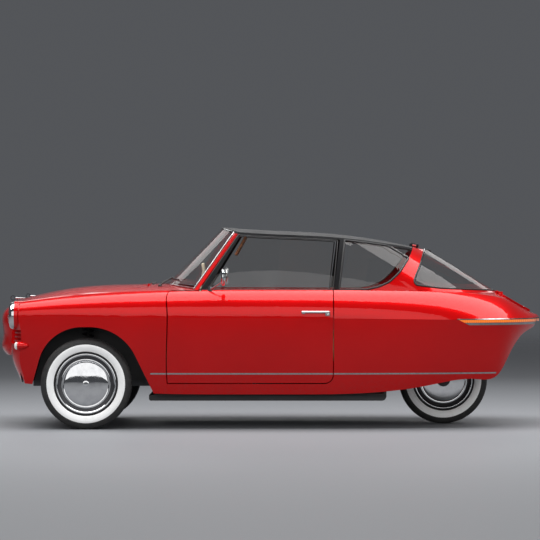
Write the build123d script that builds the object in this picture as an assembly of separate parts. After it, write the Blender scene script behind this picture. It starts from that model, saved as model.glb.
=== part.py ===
"""Three-wheeled coupe: two steered front wheels, one rear wheel, hinged doors and lids.

Millimetres. +X is forward, +Y is the car's left, +Z is up, the ground is Z = 0.
"""
import math
import os
from collections import namedtuple

from build123d import *

# Wheels and axles
WHEEL_RADIUS = 300.0
TYRE_WIDTH = 145.0
RIM_RADIUS = 203.0
RIM_WALL = 18.0
HUBCAP_RADIUS = 200.0
FRONT_AXLE_X = 1209.0
REAR_AXLE_X = -1179.0
FRONT_TRACK = 1330.0
WHEEL_Y = FRONT_TRACK / 2
KINGPIN_Y = WHEEL_Y - 75.0
KINGPIN_RADIUS = 10.0
STUB_RADIUS = 14.0
RUNNING_FIT = 0.05

# Shell
SIDE_WALL = 55.0
TOP_WALL = 36.0
GLASS = 6.0
POST_WALL = 34.0
ROOF_WALL = 12.0
SHUT_GAP = 7.0
FLOOR_Z = 228.0
TRAY_BOTTOM = 183.0

# Door hinge: the front edge of the door is a round nose about this axis
HINGE_X = 587.0
HINGE_Y = 740.0
HINGE_NOSE = 90.0
DOOR_REAR_X = -413.0
DOOR_BOTTOM_Z = 305.0
SILL_SPLIT_X = -300.0

# Lamps
LAMP_Y = 575.0
LAMP_Z = 745.0
LAMP_RADIUS = 92.0
LAMP_FACE_X = 1722.0
LAMP_BACK_X = 1688.0

Station = namedtuple(
    "Station",
    "x z_bottom y_bottom bulge_low y_crease z_crease bulge_high y_belt z_belt z_crown",
)
STATIONS = [Station(*row) for row in [
    (1900, 330, 520, 20, 640, 742, 30, 520, 800, 815),
    (1650, 300, 600, 20, 695, 742, 34, 590, 838, 858),
    (1300, 270, 650, 20, 748, 741, 34, 640, 882, 928),
    (900, 240, 680, 20, 772, 738, 32, 664, 905, 949),
    (400, 229, 690, 20, 780, 735, 30, 676, 915, 958),
    (-100, 229, 690, 20, 780, 732, 30, 676, 916, 950),
    (-600, 236, 680, 20, 772, 729, 28, 664, 912, 940),
    (-1050, 287, 640, 20, 742, 723, 24, 612, 905, 930),
    (-1350, 326, 580, 16, 690, 722, 18, 530, 890, 914),
    (-1510, 350, 520, 14, 622, 722, 14, 450, 868, 900),
    (-1600, 500, 470, 12, 560, 722, 12, 390, 838, 858),
    (-1700, 628, 370, 8, 450, 722, 8, 300, 785, 800),
    (-1780, 672, 240, 4, 300, 722, 4, 190, 752, 758),
    (-1824, 690, 100, 2, 130, 722, 2, 80, 732, 736),
]]

FrontLevel = namedtuple("FrontLevel", "z x_front corner_back")
FRONT_LEVELS = [FrontLevel(*row) for row in [
    (200, 1640, 160), (300, 1686, 160), (400, 1729, 160), (480, 1752, 150),
    (600, 1748, 125), (700, 1746, 100), (800, 1738, 100), (1000, 1650, 100),
]]

NoseLevel = namedtuple("NoseLevel", "z x_front half_width")
NOSE_LEVELS = [NoseLevel(*row) for row in [
    (474, 1793, 300), (600, 1815, 322), (700, 1824, 335),
    (760, 1812, 335), (800, 1772, 330), (838, 1712, 300),
]]

CabinLevel = namedtuple("CabinLevel", "z x_front x_post y_post x_corner y_corner x_tail")
CABIN_LEVELS = [CabinLevel(*row) for row in [
    (860, 795, 512, 673, -1000, 607, -1600),
    (1100, 557, 345, 596, -700, 545, -1224),
    (1360, 298, 163, 479, -360, 435, -770),
]]
CABIN_SIDE_BULGE = 15.0

RoofStation = namedtuple("RoofStation", "x z")
ROOF_STATIONS = [RoofStation(*row) for row in [
    (850, 1336), (200, 1327), (-220, 1305), (-600, 1272), (-950, 1208), (-1300, 1125), (-1750, 1000),
]]
ROOF_DROP = 55.0
ROOF_HALF = 700.0

# Front wheel arch in side view: corner points from the front, and the rounds at the two top ones
ARCH = [(1590, 229), (1455, 673), (975, 673), (742, 187)]
ARCH_ROUNDS = {1: 300.0, 2: 330.0}
LINER = 6.0
LINER_CLEAR = 8.0


def vec(x, y, z):
    return Vector(x, y, z)


def flip(v):
    return Vector(v.X, -v.Y, v.Z)


def bulged(p, q, bulge):
    """Arc from p to q in a plane of constant X, bulging away from the car's middle."""
    d = q - p
    out = Vector(0, d.Z, -d.Y).normalized()
    return Edge.make_three_point_arc(p, (p + q) * 0.5 + out * bulge, q)


def body_section(s, side=0.0, top=0.0, bottom=None):
    a = vec(s.x, s.y_bottom - side, s.z_bottom if bottom is None else bottom)
    b = vec(s.x, s.y_crease - side, s.z_crease)
    c = vec(s.x, s.y_belt - side, s.z_belt - top)
    t = vec(s.x, 0, s.z_crown - top)
    return Wire([
        Edge.make_line(flip(a), a),
        bulged(a, b, s.bulge_low),
        bulged(b, c, s.bulge_high),
        Edge.make_three_point_arc(c, t, flip(c)),
        bulged(flip(c), flip(b), s.bulge_high),
        bulged(flip(b), flip(a), s.bulge_low),
    ])


def body_loft(side=0.0, top=0.0, bottom=None, x_min=-2000, x_max=2000):
    rows = [s for s in STATIONS if x_min <= s.x <= x_max]
    return Solid.make_loft([body_section(s, side, top, bottom) for s in rows])


def front_outline(level, inset=0.0):
    """Plan of the front end at one height: a bowed face with round corners, open far to the rear."""
    z = level.z
    x = level.x_front - inset
    face = vec(x - 45, 540, z)
    corner = vec(x - level.corner_back, 700 - inset, z)
    wide = vec(900, 980, z)
    rear = vec(-2000, 980, z)
    tangent = Vector(-0.17, 1, 0)
    return Wire([
        Edge.make_three_point_arc(flip(face), vec(x, 0, z), face),
        Edge.make_tangent_arc(face, tangent, corner),
        Edge.make_line(corner, wide),
        Edge.make_line(wide, rear),
        Edge.make_line(rear, flip(rear)),
        Edge.make_line(flip(rear), flip(wide)),
        Edge.make_line(flip(wide), flip(corner)),
        Edge.make_tangent_arc(flip(face), flip(tangent), flip(corner)),
    ])


def nose_outline(level):
    z = level.z
    x = level.x_front
    w = level.half_width
    face = vec(x - 25, w - 110, z)
    side = vec(x - 110, w, z)
    root = vec(1500, w + 25, z)
    tangent = Vector(-0.24, 1, 0)
    return Wire([
        Edge.make_three_point_arc(flip(face), vec(x, 0, z), face),
        Edge.make_tangent_arc(face, tangent, side),
        Edge.make_line(side, root),
        Edge.make_line(root, flip(root)),
        Edge.make_line(flip(root), flip(side)),
        Edge.make_tangent_arc(flip(face), flip(tangent), flip(side)),
    ])


def cabin_outline(level, inset=0.0):
    z = level.z
    post = vec(level.x_post - inset, level.y_post - inset, z)
    corner = vec(level.x_corner, level.y_corner - inset, z)
    middle = (post + corner) * 0.5 + Vector(0, CABIN_SIDE_BULGE, 0)
    return Wire([
        Edge.make_three_point_arc(flip(post), vec(level.x_front - inset, 0, z), post),
        Edge.make_three_point_arc(post, middle, corner),
        Edge.make_three_point_arc(corner, vec(level.x_tail + inset, 0, z), flip(corner)),
        Edge.make_three_point_arc(flip(corner), flip(middle), flip(post)),
    ])


def cabin_loft(inset=0.0):
    return Solid.make_loft([cabin_outline(level, inset) for level in CABIN_LEVELS])


def roof_section(station, lower):
    z = station.z - lower
    edge = vec(station.x, ROOF_HALF, z - ROOF_DROP)
    foot = vec(station.x, ROOF_HALF, 600)
    return Wire([
        Edge.make_line(flip(foot), foot),
        Edge.make_line(foot, edge),
        Edge.make_three_point_arc(edge, vec(station.x, 0, z), flip(edge)),
        Edge.make_line(flip(edge), flip(foot)),
    ])


def under_roof(lower=0.0):
    return Solid.make_loft([roof_section(s, lower) for s in ROOF_STATIONS])


def box(x0, x1, y0, y1, z0, z1):
    return Pos((x0 + x1) / 2, (y0 + y1) / 2, (z0 + z1) / 2) * Box(abs(x1 - x0), abs(y1 - y0), abs(z1 - z0))


def rod(axis, centre, radius, length):
    """Cylinder along X, Y or Z about a centre point."""
    turn = {"X": Rot(0, 90, 0), "Y": Rot(90, 0, 0), "Z": Rot(0, 0, 0)}[axis]
    return Pos(*centre) * turn * Cylinder(radius, length)


def side_face(points, rounds=None):
    """Face in the XZ plane at Y = 0 from (x, z) points; rounds maps a point's number to a corner radius."""
    wire = Wire.make_polygon([vec(x, 0, z) for x, z in points], close=True)
    if rounds:
        for number, radius in rounds.items():
            x, z = points[number]
            corner = min(wire.vertices(), key=lambda v: (v.X - x) ** 2 + (v.Z - z) ** 2)
            wire = wire.fillet_2d(radius, [corner])
    return Face(wire)


def across(face, y0, y1):
    """Prism of a side face between two Y values."""
    return Solid.extrude(face.moved(Location((0, y0, 0))), Vector(0, y1 - y0, 0))


def plan_prism(points, z0, z1, rounds=None):
    wire = Wire.make_polygon([vec(x, y, z0) for x, y in points], close=True)
    if rounds:
        wire = wire.fillet_2d(rounds, wire.vertices())
    return Solid.extrude(Face(wire), Vector(0, 0, z1 - z0))


def turned(profile, axis):
    """Solid of revolution from (radius, along) points about the Y or X axis through the origin."""
    if axis == "Y":
        wire = Wire.make_polygon([vec(r, a, 0) for r, a in profile], close=True)
        return Solid.revolve(Face(wire), 360, Axis.Y)
    wire = Wire.make_polygon([vec(a, r, 0) for r, a in profile], close=True)
    return Solid.revolve(Face(wire), 360, Axis.X)


def mirrored(shape):
    return mirror(shape, Plane.XZ)


def both_sides(shape):
    return Compound(children=list(solids_of(shape)) + list(solids_of(mirrored(shape))))


def solids_of(shape):
    if isinstance(shape, (list, tuple, ShapeList)):
        return [s for item in shape for s in solids_of(item)]
    return list(shape.solids())


NODES = {}


def keep(name, shape, least=200.0):
    """Keep a node; crumbs left by a cut are dropped."""
    parts = [s for s in solids_of(shape) if s.volume > least]
    NODES[name] = parts[0] if len(parts) == 1 else Compound(children=parts)


def cut(shape, *tools):
    result = shape
    for tool in tools:
        result = result - tool
    return result


# Outer form
front_trim = Solid.make_loft([front_outline(level) for level in FRONT_LEVELS])
nose = Solid.make_loft([nose_outline(level) for level in NOSE_LEVELS])
skin = body_loft() & front_trim
skin = skin + nose
for side in (1, -1):
    skin = skin + rod("X", (1560, side * LAMP_Y, LAMP_Z), LAMP_RADIUS + 5, 2 * (LAMP_BACK_X - 1560))
hollow = body_loft(SIDE_WALL, TOP_WALL, 100, -1550, 1700)
cabin_void = cabin_loft(POST_WALL + 4)
cabin_floor = Solid.extrude(Face(cabin_outline(CABIN_LEVELS[0], POST_WALL + 4)), Vector(0, 0, -500))
shell = cut(skin, hollow, cabin_void, cabin_floor)

# Wheel arches


def arch_outline(grow):
    """Side view of the arch, moved out all round."""
    points = [(x + math.copysign(grow * 1.05, 1 if number < 2 else -1), z + grow * (number in ARCH_ROUNDS))
              for number, (x, z) in enumerate(ARCH)]
    return side_face(points, {number: radius + grow for number, radius in ARCH_ROUNDS.items()})


arch_face = arch_outline(0.0)
for side in (1, -1):
    shell = shell - across(arch_face, side * 385, side * 1000)

# Doors
DOOR_OUTLINE = [
    (HINGE_X + HINGE_NOSE + 20, DOOR_BOTTOM_Z), (HINGE_X + HINGE_NOSE + 20, 906), (452, 906),
    (425, 1000), (DOOR_REAR_X, 1000), (DOOR_REAR_X, DOOR_BOTTOM_Z),
]
DOOR_GAP_OUTLINE = [
    (HINGE_X + HINGE_NOSE + 40, DOOR_BOTTOM_Z - SHUT_GAP), (HINGE_X + HINGE_NOSE + 40, 906 + SHUT_GAP),
    (457 + SHUT_GAP, 906 + SHUT_GAP), (432 + SHUT_GAP, 1000), (DOOR_REAR_X - SHUT_GAP, 1000),
    (DOOR_REAR_X - SHUT_GAP, DOOR_BOTTOM_Z - SHUT_GAP),
]
door_face = side_face(DOOR_OUTLINE, {5: 55.0})
door_gap_face = side_face(DOOR_GAP_OUTLINE, {5: 55.0 + SHUT_GAP})


def door_region(face, grow, side):
    prism = across(face, side * 480, side * 1000)
    nose_round = rod("Z", (HINGE_X, side * HINGE_Y, 650), HINGE_NOSE + grow, 900)
    behind = box(-1000, HINGE_X + grow, side * 400, side * 1100, 0, 1300)
    return prism & (behind + nose_round)


doors = {}
body = shell
for side, name in ((1, "left"), (-1, "right")):
    doors[name] = shell & door_region(door_face, 0.0, side)
    body = body - door_region(door_gap_face, SHUT_GAP, side)

# Lids: each turns about a pin along Y at its hinged edge
BONNET_REAR_X = 820.0
BONNET_FRONT_X = 1628.0
BONNET_PIN_Z = 948.0
LID_FRONT_X = -1540.0
LID_PIN_Z = 901.0
LID_PROUD = 14.0
PIN_RADIUS = 4.0
KNUCKLE_RADIUS = 6.5
KNUCKLE_LENGTH = 30.0
BONNET_KNUCKLE_Y = 230.0
LID_KNUCKLE_Y = 130.0
BONNET = [(BONNET_REAR_X, 500), (BONNET_FRONT_X, 455), (BONNET_FRONT_X, -455), (BONNET_REAR_X, -500)]
LID = [(LID_FRONT_X, 250), (LID_FRONT_X, -250), (-1765, -125), (-1765, 125)]


def grown(points, by):
    """The same outline, moved out by a shut gap."""
    middle = sum(x for x, y in points) / len(points)
    return [(x + math.copysign(by, x - middle), y + math.copysign(by, y)) for x, y in points]


def knuckles(x, y, z, reach):
    """Hinge at one Y: the lid's eye with its leaf, the body's two lugs, their pin, and the eye's sweep."""
    eye = rod("Y", (x, y, z), KNUCKLE_RADIUS, KNUCKLE_LENGTH)
    leaf = box(x, x + reach, y - KNUCKLE_LENGTH / 2, y + KNUCKLE_LENGTH / 2, z - 22, z - 2)
    eye = eye + leaf - rod("Y", (x, y, z), PIN_RADIUS + RUNNING_FIT, 2 * KNUCKLE_LENGTH)
    pin = rod("Y", (x, y, z), PIN_RADIUS, KNUCKLE_LENGTH + 40)
    sweep = rod("Y", (x, y, z), KNUCKLE_RADIUS + 6, KNUCKLE_LENGTH + 12)
    lugs = []
    for end in (1, -1):
        lug_y = y + end * (KNUCKLE_LENGTH / 2 + 13)
        lug = rod("Y", (x, lug_y, z), KNUCKLE_RADIUS, 14)
        lug = lug + box(x - math.copysign(14, reach), x, lug_y - 7, lug_y + 7, z - 22, z - 2)
        lugs.append(lug - sweep)
    return eye, lugs[0] + lugs[1], pin, sweep


lid_skin = body_loft(0.0, -LID_PROUD)
bonnet = shell & plan_prism(BONNET, 700, 1100, 60)
body = body - plan_prism(grown(BONNET, SHUT_GAP), 700, 1100, 60 + SHUT_GAP)
boot_lid = (lid_skin & plan_prism(LID, 700, 1000, 40)) - body_loft(0.0, 14.0)
body = body - (plan_prism(grown(LID, SHUT_GAP), 715, 1000, 40 + SHUT_GAP) - body_loft(0.0, 20.0))
BONNET_PIN_X = BONNET_REAR_X - SHUT_GAP / 2
LID_PIN_X = LID_FRONT_X + SHUT_GAP / 2
for y in (BONNET_KNUCKLE_Y, -BONNET_KNUCKLE_Y):
    eye, lugs, pin, sweep = knuckles(BONNET_PIN_X, y, BONNET_PIN_Z, 40)
    body = body - sweep + lugs + pin
    bonnet = bonnet - box(700, BONNET_REAR_X + 7, y - 41, y + 41, 900, 1000) + eye
for y in (LID_KNUCKLE_Y, -LID_KNUCKLE_Y):
    eye, lugs, pin, sweep = knuckles(LID_PIN_X, y, LID_PIN_Z, -40)
    body = body - sweep + lugs + pin
    boot_lid = boot_lid - box(LID_FRONT_X - 7, -1400, y - 41, y + 41, 800, 1000) + eye

# Nose intakes, lamp seats and the tail-lamp groove
MOUTH_LOW, MOUTH_HIGH = 560.0, 652.0
MOUTH_INNER_Y = 356.0
MOUTH_BACK_X = 1640.0
TAIL_TRIM_TOP = (720.0, 727.0)
TAIL_LAMP_BAND = (701.0, 718.5)
TAIL_TRIM_LOW = (684.0, 699.5)
TAIL_FRONT_X = -1225.0
TAIL_RAKE = 85.0
TAIL_DEPTH = 22.0
POD_X, POD_Y, POD_Z, POD_RADIUS = 1662.0, 684.0, 549.0, 30.0
pod_profile = [(0, 0), (POD_RADIUS, 0), (POD_RADIUS, -10), (24, -40), (14, -66), (0, -82)]
lens_profile = [(0, 0.3), (POD_RADIUS - 2, 0.3), (POD_RADIUS - 5, 8), (18, 16), (8, 20), (0, 21)]
pods = []
for side in (1, -1):
    body = body - box(MOUTH_BACK_X, 1900, side * MOUTH_INNER_Y, side * 800, MOUTH_LOW, MOUTH_HIGH)
    body = body - rod("X", (1760, side * LAMP_Y, LAMP_Z), LAMP_RADIUS, 2 * (1760 - 1640))
    pod = Pos(POD_X, side * POD_Y, POD_Z) * turned(pod_profile, "X")
    body = body - pod
    pods.append(pod)
proud_skin = body_loft(-4.0)
deep_skin = body_loft(TAIL_DEPTH)
tail_space = across(side_face([
    (TAIL_FRONT_X, TAIL_TRIM_TOP[1]), (TAIL_FRONT_X - TAIL_RAKE, TAIL_TRIM_LOW[0]),
    (-2000, TAIL_TRIM_LOW[0]), (-2000, TAIL_TRIM_TOP[1])]), -1000, 1000)
tail_core = box(-1780, TAIL_FRONT_X, -600, 600, 600, 800) & deep_skin
body = body - (tail_space - tail_core)
tail_ring = (proud_skin & tail_space) - tail_core


def band(low, high):
    return tail_ring & box(-2000, TAIL_FRONT_X, -1000, 1000, low, high)


keep("tail_trims", [band(*TAIL_TRIM_TOP), band(*TAIL_TRIM_LOW)], 50000.0)
keep("tail_lamp", band(*TAIL_LAMP_BAND))

keep("front_body", body & box(SILL_SPLIT_X, 2000, -1000, 1000, 0, 1300))
keep("rear_body", body & box(-2000, SILL_SPLIT_X, -1000, 1000, 0, 1300))
keep("bonnet", bonnet)
keep("boot_lid", boot_lid)

# Lamps and trim on the nose
LENS_RADIUS = 70.0
ring_out = LAMP_RADIUS - 0.2
lens_out = LENS_RADIUS - 0.2
ring = turned([
    (LENS_RADIUS, -40), (ring_out, -40), (ring_out, -10), (ring_out - 4, -3), (ring_out - 10, 0),
    (LENS_RADIUS + 6, -3), (LENS_RADIUS + 2, -12)], "X")
lens = turned([
    (0, -36), (lens_out, -36), (lens_out, -14), (lens_out - 10, -4), (lens_out - 28, 6), (lens_out - 48, 12),
    (0, 14)], "X")
for node, shape in (("headlamp_rings", ring), ("headlamp_lenses", lens)):
    keep(node, both_sides(Pos(LAMP_FACE_X, LAMP_Y, LAMP_Z) * shape))
keep("indicator_pods", pods)
keep("indicator_lenses", both_sides(Pos(POD_X, POD_Y, POD_Z) * turned(lens_profile, "X")))
ORNAMENT_X, ORNAMENT_Z = 1700.0, 862.0
ornament_place = (ORNAMENT_X, LAMP_Y, ORNAMENT_Z)
ornament = rod("Y", ornament_place, 18, 8) - rod("Y", ornament_place, 10, 9)
ornament = ornament + Pos(ORNAMENT_X - 48, LAMP_Y, ORNAMENT_Z) * Rot(0, -90, 0) * Cone(5.5, 1.5, 66)
ornament = ornament + rod("Z", (ORNAMENT_X - 30, LAMP_Y, LAMP_Z + LAMP_RADIUS + 5.3 + 10), 4, 20)
keep("wing_ornaments", both_sides(ornament))
slats = []
for number in range(3):
    z = MOUTH_LOW + (number + 0.75) * (MOUTH_HIGH - MOUTH_LOW) / 3.5
    slat = skin & box(MOUTH_BACK_X + 12, 1900, MOUTH_INNER_Y, 720, z - 5, z + 5)
    slats.append((slat.moved(Location((-12, 0, 0)))) - pods[0])
keep("intake_slats", both_sides(slats))

# Cabin top
TOP_CLEAR = 0.3
roof_top = under_roof()
roof_low = under_roof(ROOF_WALL)
seat_skin = body_loft().moved(Location((0, 0, TOP_CLEAR)))
cabin_out = cabin_loft()
glass_zone = (cabin_out - cabin_loft(GLASS)) & under_roof(ROOF_WALL + TOP_CLEAR)
post_zone = (cabin_out - cabin_loft(POST_WALL)) & under_roof(ROOF_WALL + TOP_CLEAR)
hoop_zone = (cabin_out & roof_top) - (cabin_loft(POST_WALL) & under_roof(POST_WALL))
A_LOW, A_HIGH = (474.0, 915.0), (176.0, 1340.0)
A_WIDTH = 30.0
B_LOW, B_HIGH = (-422.0, 900.0), (-476.0, 1340.0)
B_WIDTH = 32.0
GLASS_TAIL_X = LID_FRONT_X + 22.0


def leaning(low, high, ahead, behind, low_z=840.0, high_z=1400.0):
    """Side-view strip along a leaning line, from ahead of it to behind it."""
    slope = (high[0] - low[0]) / (high[1] - low[1])
    x_low = low[0] + slope * (low_z - low[1])
    x_high = low[0] + slope * (high_z - low[1])
    return side_face([
        (x_low + ahead, low_z), (x_high + ahead, high_z), (x_high - behind, high_z), (x_low - behind, low_z)])


def both_across(face):
    return across(face, -1000, 1000)


hoop_front = [
    (-420, 860), (-420, 916), (-640, 918), (-716, 934), (-790, 966), (-860, 1030), (-930, 1130), (-985, 1260),
]
hoop_rear = [
    (-1075, 1260), (-1042, 1190), (-1002, 1090), (-965, 1010), (-946, 950), (-1130, 926), (-1330, 917),
    (GLASS_TAIL_X - 2, 908), (GLASS_TAIL_X - 2, 860),
]
FRONT_ROUNDS = {1: 120, 2: 120, 3: 300, 4: 400}
hoop_region = both_across(side_face(hoop_front + hoop_rear, {
    **{number + 2: radius for number, radius in FRONT_ROUNDS.items()}, len(hoop_front) + 4: 30}))
quarter_region = both_across(side_face(
    [(B_LOW[0] - B_WIDTH, 917.5)] + [(x + 1.0, z + 1.0) for x, z in hoop_front[2:]]
    + [(-985, 1400), (B_LOW[0] - 62 - B_WIDTH, 1400)],
    {number + 1: radius for number, radius in FRONT_ROUNDS.items()}))
behind_hoop = both_across(side_face(
    hoop_front[:1] + hoop_front[2:] + [(-1900, 1260), (-1900, 860)],
    {number + 1: radius for number, radius in FRONT_ROUNDS.items()})).moved(Location((1.0, 0, 0)))
b_strip = both_across(leaning(B_LOW, B_HIGH, 0.0, B_WIDTH))
a_strip = both_across(leaning(A_LOW, A_HIGH, A_WIDTH, 0.0))
screen_region = both_across(leaning(A_LOW, A_HIGH, 900.0, -A_WIDTH - 0.3))
door_glass_region = both_across(side_face([
    (A_LOW[0] - SHUT_GAP + 45, 840), (A_HIGH[0] - SHUT_GAP - 25, 1375),
    (B_HIGH[0] + 12, 1375), (B_LOW[0] + 12, 840)]))
rear_glass_region = both_across(side_face(
    [(x - 1.0, z + 0.5) for x, z in reversed(hoop_rear[:-2])]
    + [(-1075, 1400), (GLASS_TAIL_X, 1400), (GLASS_TAIL_X, 908.5)], {2: 29}))
rear_side = box(-2000, -300, -900, 900, 800, 1400)
keep("windscreen", (glass_zone & screen_region) - seat_skin)
keep("windscreen_posts", (post_zone & a_strip) - seat_skin)
keep("roof_hoop", (hoop_zone & hoop_region) - seat_skin)
keep("roof_panel", (cabin_out & roof_top) - roof_low - behind_hoop)
keep("door_posts", ((post_zone & b_strip) - cabin_loft(20.0)) - seat_skin)
quarter_panes = (glass_zone & quarter_region & rear_side) - b_strip.moved(Location((-0.5, 0, 0)))
keep("quarter_windows", quarter_panes - seat_skin)
rear_pane = (cabin_out - cabin_loft(GLASS)) & rear_glass_region & rear_side & roof_top
keep("rear_window", rear_pane - seat_skin)
pod_lamp = box(-1012, -950, -60, 60, 1180, 1240) & under_roof(-26) - under_roof(-0.3)
keep("brake_lamp_pod", pod_lamp)

# Door fittings
MIRROR_PROFILE = [(0, -11), (50, -11), (58, -3), (58, 3), (48, 11), (0, 15)]
for side, name in ((1, "left"), (-1, "right")):
    door = doors[name]
    keep("door_" + name, door)
    half = box(-2000, 2000, 0, side * 1000, 0, 1500)
    pane = (cabin_out - cabin_loft(GLASS)) & under_roof(ROOF_WALL + SHUT_GAP) & door_glass_region & half
    keep("door_glass_" + name, pane - seat_skin)
    skin_y = side * 776
    handle = box(-395, -200, skin_y, skin_y + side * 26, 765, 779)
    handle = handle - box(-370, -225, skin_y, skin_y + side * 14, 700, 800)
    handle = handle + rod("Y", (-382, skin_y + side * 10, 756), 11, 22)
    keep("door_handle_" + name, (handle - body_loft(-0.2)))
    head = Pos(308, side * 760, 1000) * turned(MIRROR_PROFILE, "X")
    stalk = rod("X", (0, 0, 0), 6, 120)
    stalk = Pos(350, side * 722, 950) * Rot(0, 0, side * -40) * Rot(0, 28, 0) * stalk
    foot = Pos(395, side * 676, 925) * Cylinder(16, 30)
    keep("mirror_" + name, (head + stalk + foot) - seat_skin)

# Trim strips along the sills
STRIP_LOW, STRIP_HIGH = 361.0, 371.0
strip_zone = box(-1500, 786, -1000, 1000, STRIP_LOW, STRIP_HIGH)
strip_core = body_loft(-0.2) & box(-1600, 900, -1000, 1000, STRIP_LOW - 20, STRIP_HIGH + 20)
strip = (proud_skin & strip_zone) - strip_core
door_zone = {side: door_region(door_face, 0.0, side) for side in (1, -1)}
gap_zone = {side: door_region(door_gap_face, SHUT_GAP, side) for side in (1, -1)}
keep("body_trims", cut(strip, gap_zone[1], gap_zone[-1], across(arch_face, -1000, 1000)))
for side, name in ((1, "left"), (-1, "right")):
    keep("door_trim_" + name, strip & door_zone[side])

# Floor, battery and bulkheads
TRAY_FRONT_X, TRAY_REAR_X, TRAY_HALF = 800.0, -770.0, 600.0
FLOOR_WALL = 8.0
tray_face = side_face([(TRAY_FRONT_X, TRAY_BOTTOM), (TRAY_FRONT_X, FLOOR_Z - FLOOR_WALL),
                       (TRAY_REAR_X, FLOOR_Z - FLOOR_WALL), (TRAY_REAR_X, TRAY_BOTTOM)], {0: 15.0, 3: 30.0})
keep("battery_pack", across(tray_face, -TRAY_HALF, TRAY_HALF))
floor_plan = [(760, 660), (760, -660), (-768, -640), (-768, 640)]
keep("floor_pan", plan_prism(floor_plan, FLOOR_Z - FLOOR_WALL, FLOOR_Z))
inside = body_loft(SIDE_WALL + 0.3, TOP_WALL + 0.3, 100, -1550, 1700)
keep("firewall", inside & box(712, 730, -700, 700, FLOOR_Z, 1000))
bulkhead = box(-768, -750, -700, 700, FLOOR_Z, 680) + box(-1460, -750, -700, 700, 662, 680)
keep("rear_bulkhead", inside & bulkhead)

# Cabin furniture
dash_face = side_face(
    [(700, 640), (700, 868), (560, 880), (380, 868), (318, 800), (345, 690), (430, 640)],
    {3: 40, 4: 30, 5: 30})
keep("dashboard", across(dash_face, -600, 600) & inside)
WHEEL_RIM, WHEEL_GRIP = 178.0, 13.0
COLUMN_LENGTH = 320.0
wheel_place = Pos(150, 310, 742) * Rot(0, -62, 0)
grip = [(WHEEL_RIM + WHEEL_GRIP * math.cos(math.radians(a)), WHEEL_GRIP * math.sin(math.radians(a)))
        for a in range(0, 360, 45)]
steering = Rot(90, 0, 0) * turned(grip, "Y") + Cylinder(34, 40)
for turn in (0, 120, 240):
    steering = steering + Rot(0, 0, turn) * Pos(WHEEL_RIM / 2, 0, 0) * Box(WHEEL_RIM, 26, 8)
steering = wheel_place * (steering + Pos(0, 0, -COLUMN_LENGTH / 2) * Cylinder(20, COLUMN_LENGTH))
keep("steering_wheel", steering - NODES["dashboard"])
SEAT_Y, SEAT_HALF, RAIL_SPREAD = 305.0, 240.0, 165.0
cushion = side_face([(-430, 330), (40, 350), (60, 420), (20, 455), (-430, 425)], {1: 40, 2: 30, 3: 30})
backrest = side_face(
    [(-430, 330), (-370, 430), (-560, 880), (-600, 900), (-650, 880), (-520, 330)], {2: 25, 4: 25})
for side, name in ((1, "left"), (-1, "right")):
    y0, y1 = side * (SEAT_Y - SEAT_HALF), side * (SEAT_Y + SEAT_HALF)
    seat = across(cushion, y0, y1) + across(backrest, y0, y1)
    for rail_y in (SEAT_Y - RAIL_SPREAD, SEAT_Y + RAIL_SPREAD):
        seat = seat + box(-420, -20, side * (rail_y - 15), side * (rail_y + 15), FLOOR_Z, 345)
    keep("seat_" + name, seat)

# Wheel-arch liners
liner_out = arch_outline(LINER_CLEAR + LINER)
liner_in = arch_outline(LINER_CLEAR)
liner = across(liner_out, 392, 760) - across(liner_in, 392 + LINER, 760)
liner = liner & inside & box(700, 1650, 300, 800, 310, 800)
keep("arch_liners", both_sides(liner - box(1100, 1320, 380, 420, 230, 420)))

# Front axle, knuckles and rear swing arm
AXLE_TUBE = 24.0
EYE_RADIUS = 22.0
EYE_HALF = 30.0
RAIL_FRONT_X = 1585.0
axle = rod("Y", (FRONT_AXLE_X, 0, WHEEL_RADIUS), AXLE_TUBE, 2 * (KINGPIN_Y - 12))
for side in (1, -1):
    axle = axle + rod("Z", (FRONT_AXLE_X, side * KINGPIN_Y, WHEEL_RADIUS), EYE_RADIUS, 2 * EYE_HALF)
    axle = axle + box(730, RAIL_FRONT_X, side * 290, side * 350, 270, 330)
for side in (1, -1):
    axle = axle - rod("Z", (FRONT_AXLE_X, side * KINGPIN_Y, WHEEL_RADIUS), KINGPIN_RADIUS + RUNNING_FIT, 200)
TOW_X, TOW_RADIUS = 1500.0, 16.0
axle = axle + box(TOW_X - 40, TOW_X + 40, 230, 290, 270, 290) - rod("Z", (TOW_X, 260, 280), TOW_RADIUS, 60)
keep("front_subframe", axle)
ARM_HALF = 20.0
for side, name in ((1, "left"), (-1, "right")):
    top = WHEEL_RADIUS + EYE_HALF + 1
    low = WHEEL_RADIUS - EYE_HALF - 1
    y0, y1 = side * (KINGPIN_Y - 20), side * (KINGPIN_Y + 50)
    fork = box(FRONT_AXLE_X - ARM_HALF, FRONT_AXLE_X + ARM_HALF, y0, y1, top, top + 14)
    fork = fork + box(FRONT_AXLE_X - ARM_HALF, FRONT_AXLE_X + ARM_HALF, y0, y1, low - 14, low)
    fork = fork + box(FRONT_AXLE_X - ARM_HALF, FRONT_AXLE_X + ARM_HALF, side * (KINGPIN_Y + 32), y1, low, top)
    fork = fork + rod("Z", (FRONT_AXLE_X, side * KINGPIN_Y, WHEEL_RADIUS), KINGPIN_RADIUS, 2 * EYE_HALF + 20)
    fork = fork + rod("Y", (FRONT_AXLE_X, side * (KINGPIN_Y + 73), WHEEL_RADIUS), STUB_RADIUS, 50)
    keep("knuckle_" + name, fork)
FORK_Y = 110.0
arm_face = side_face(
    [(-800, 320), (-800, 372), (-1160, 330), (-1204, 330), (-1204, 272), (-1160, 272)],
    {2: 20, 3: 20, 4: 20, 5: 20})
swing = rod("Y", (-812, 0, 345), 24, 2 * FORK_Y + 40)
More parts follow.
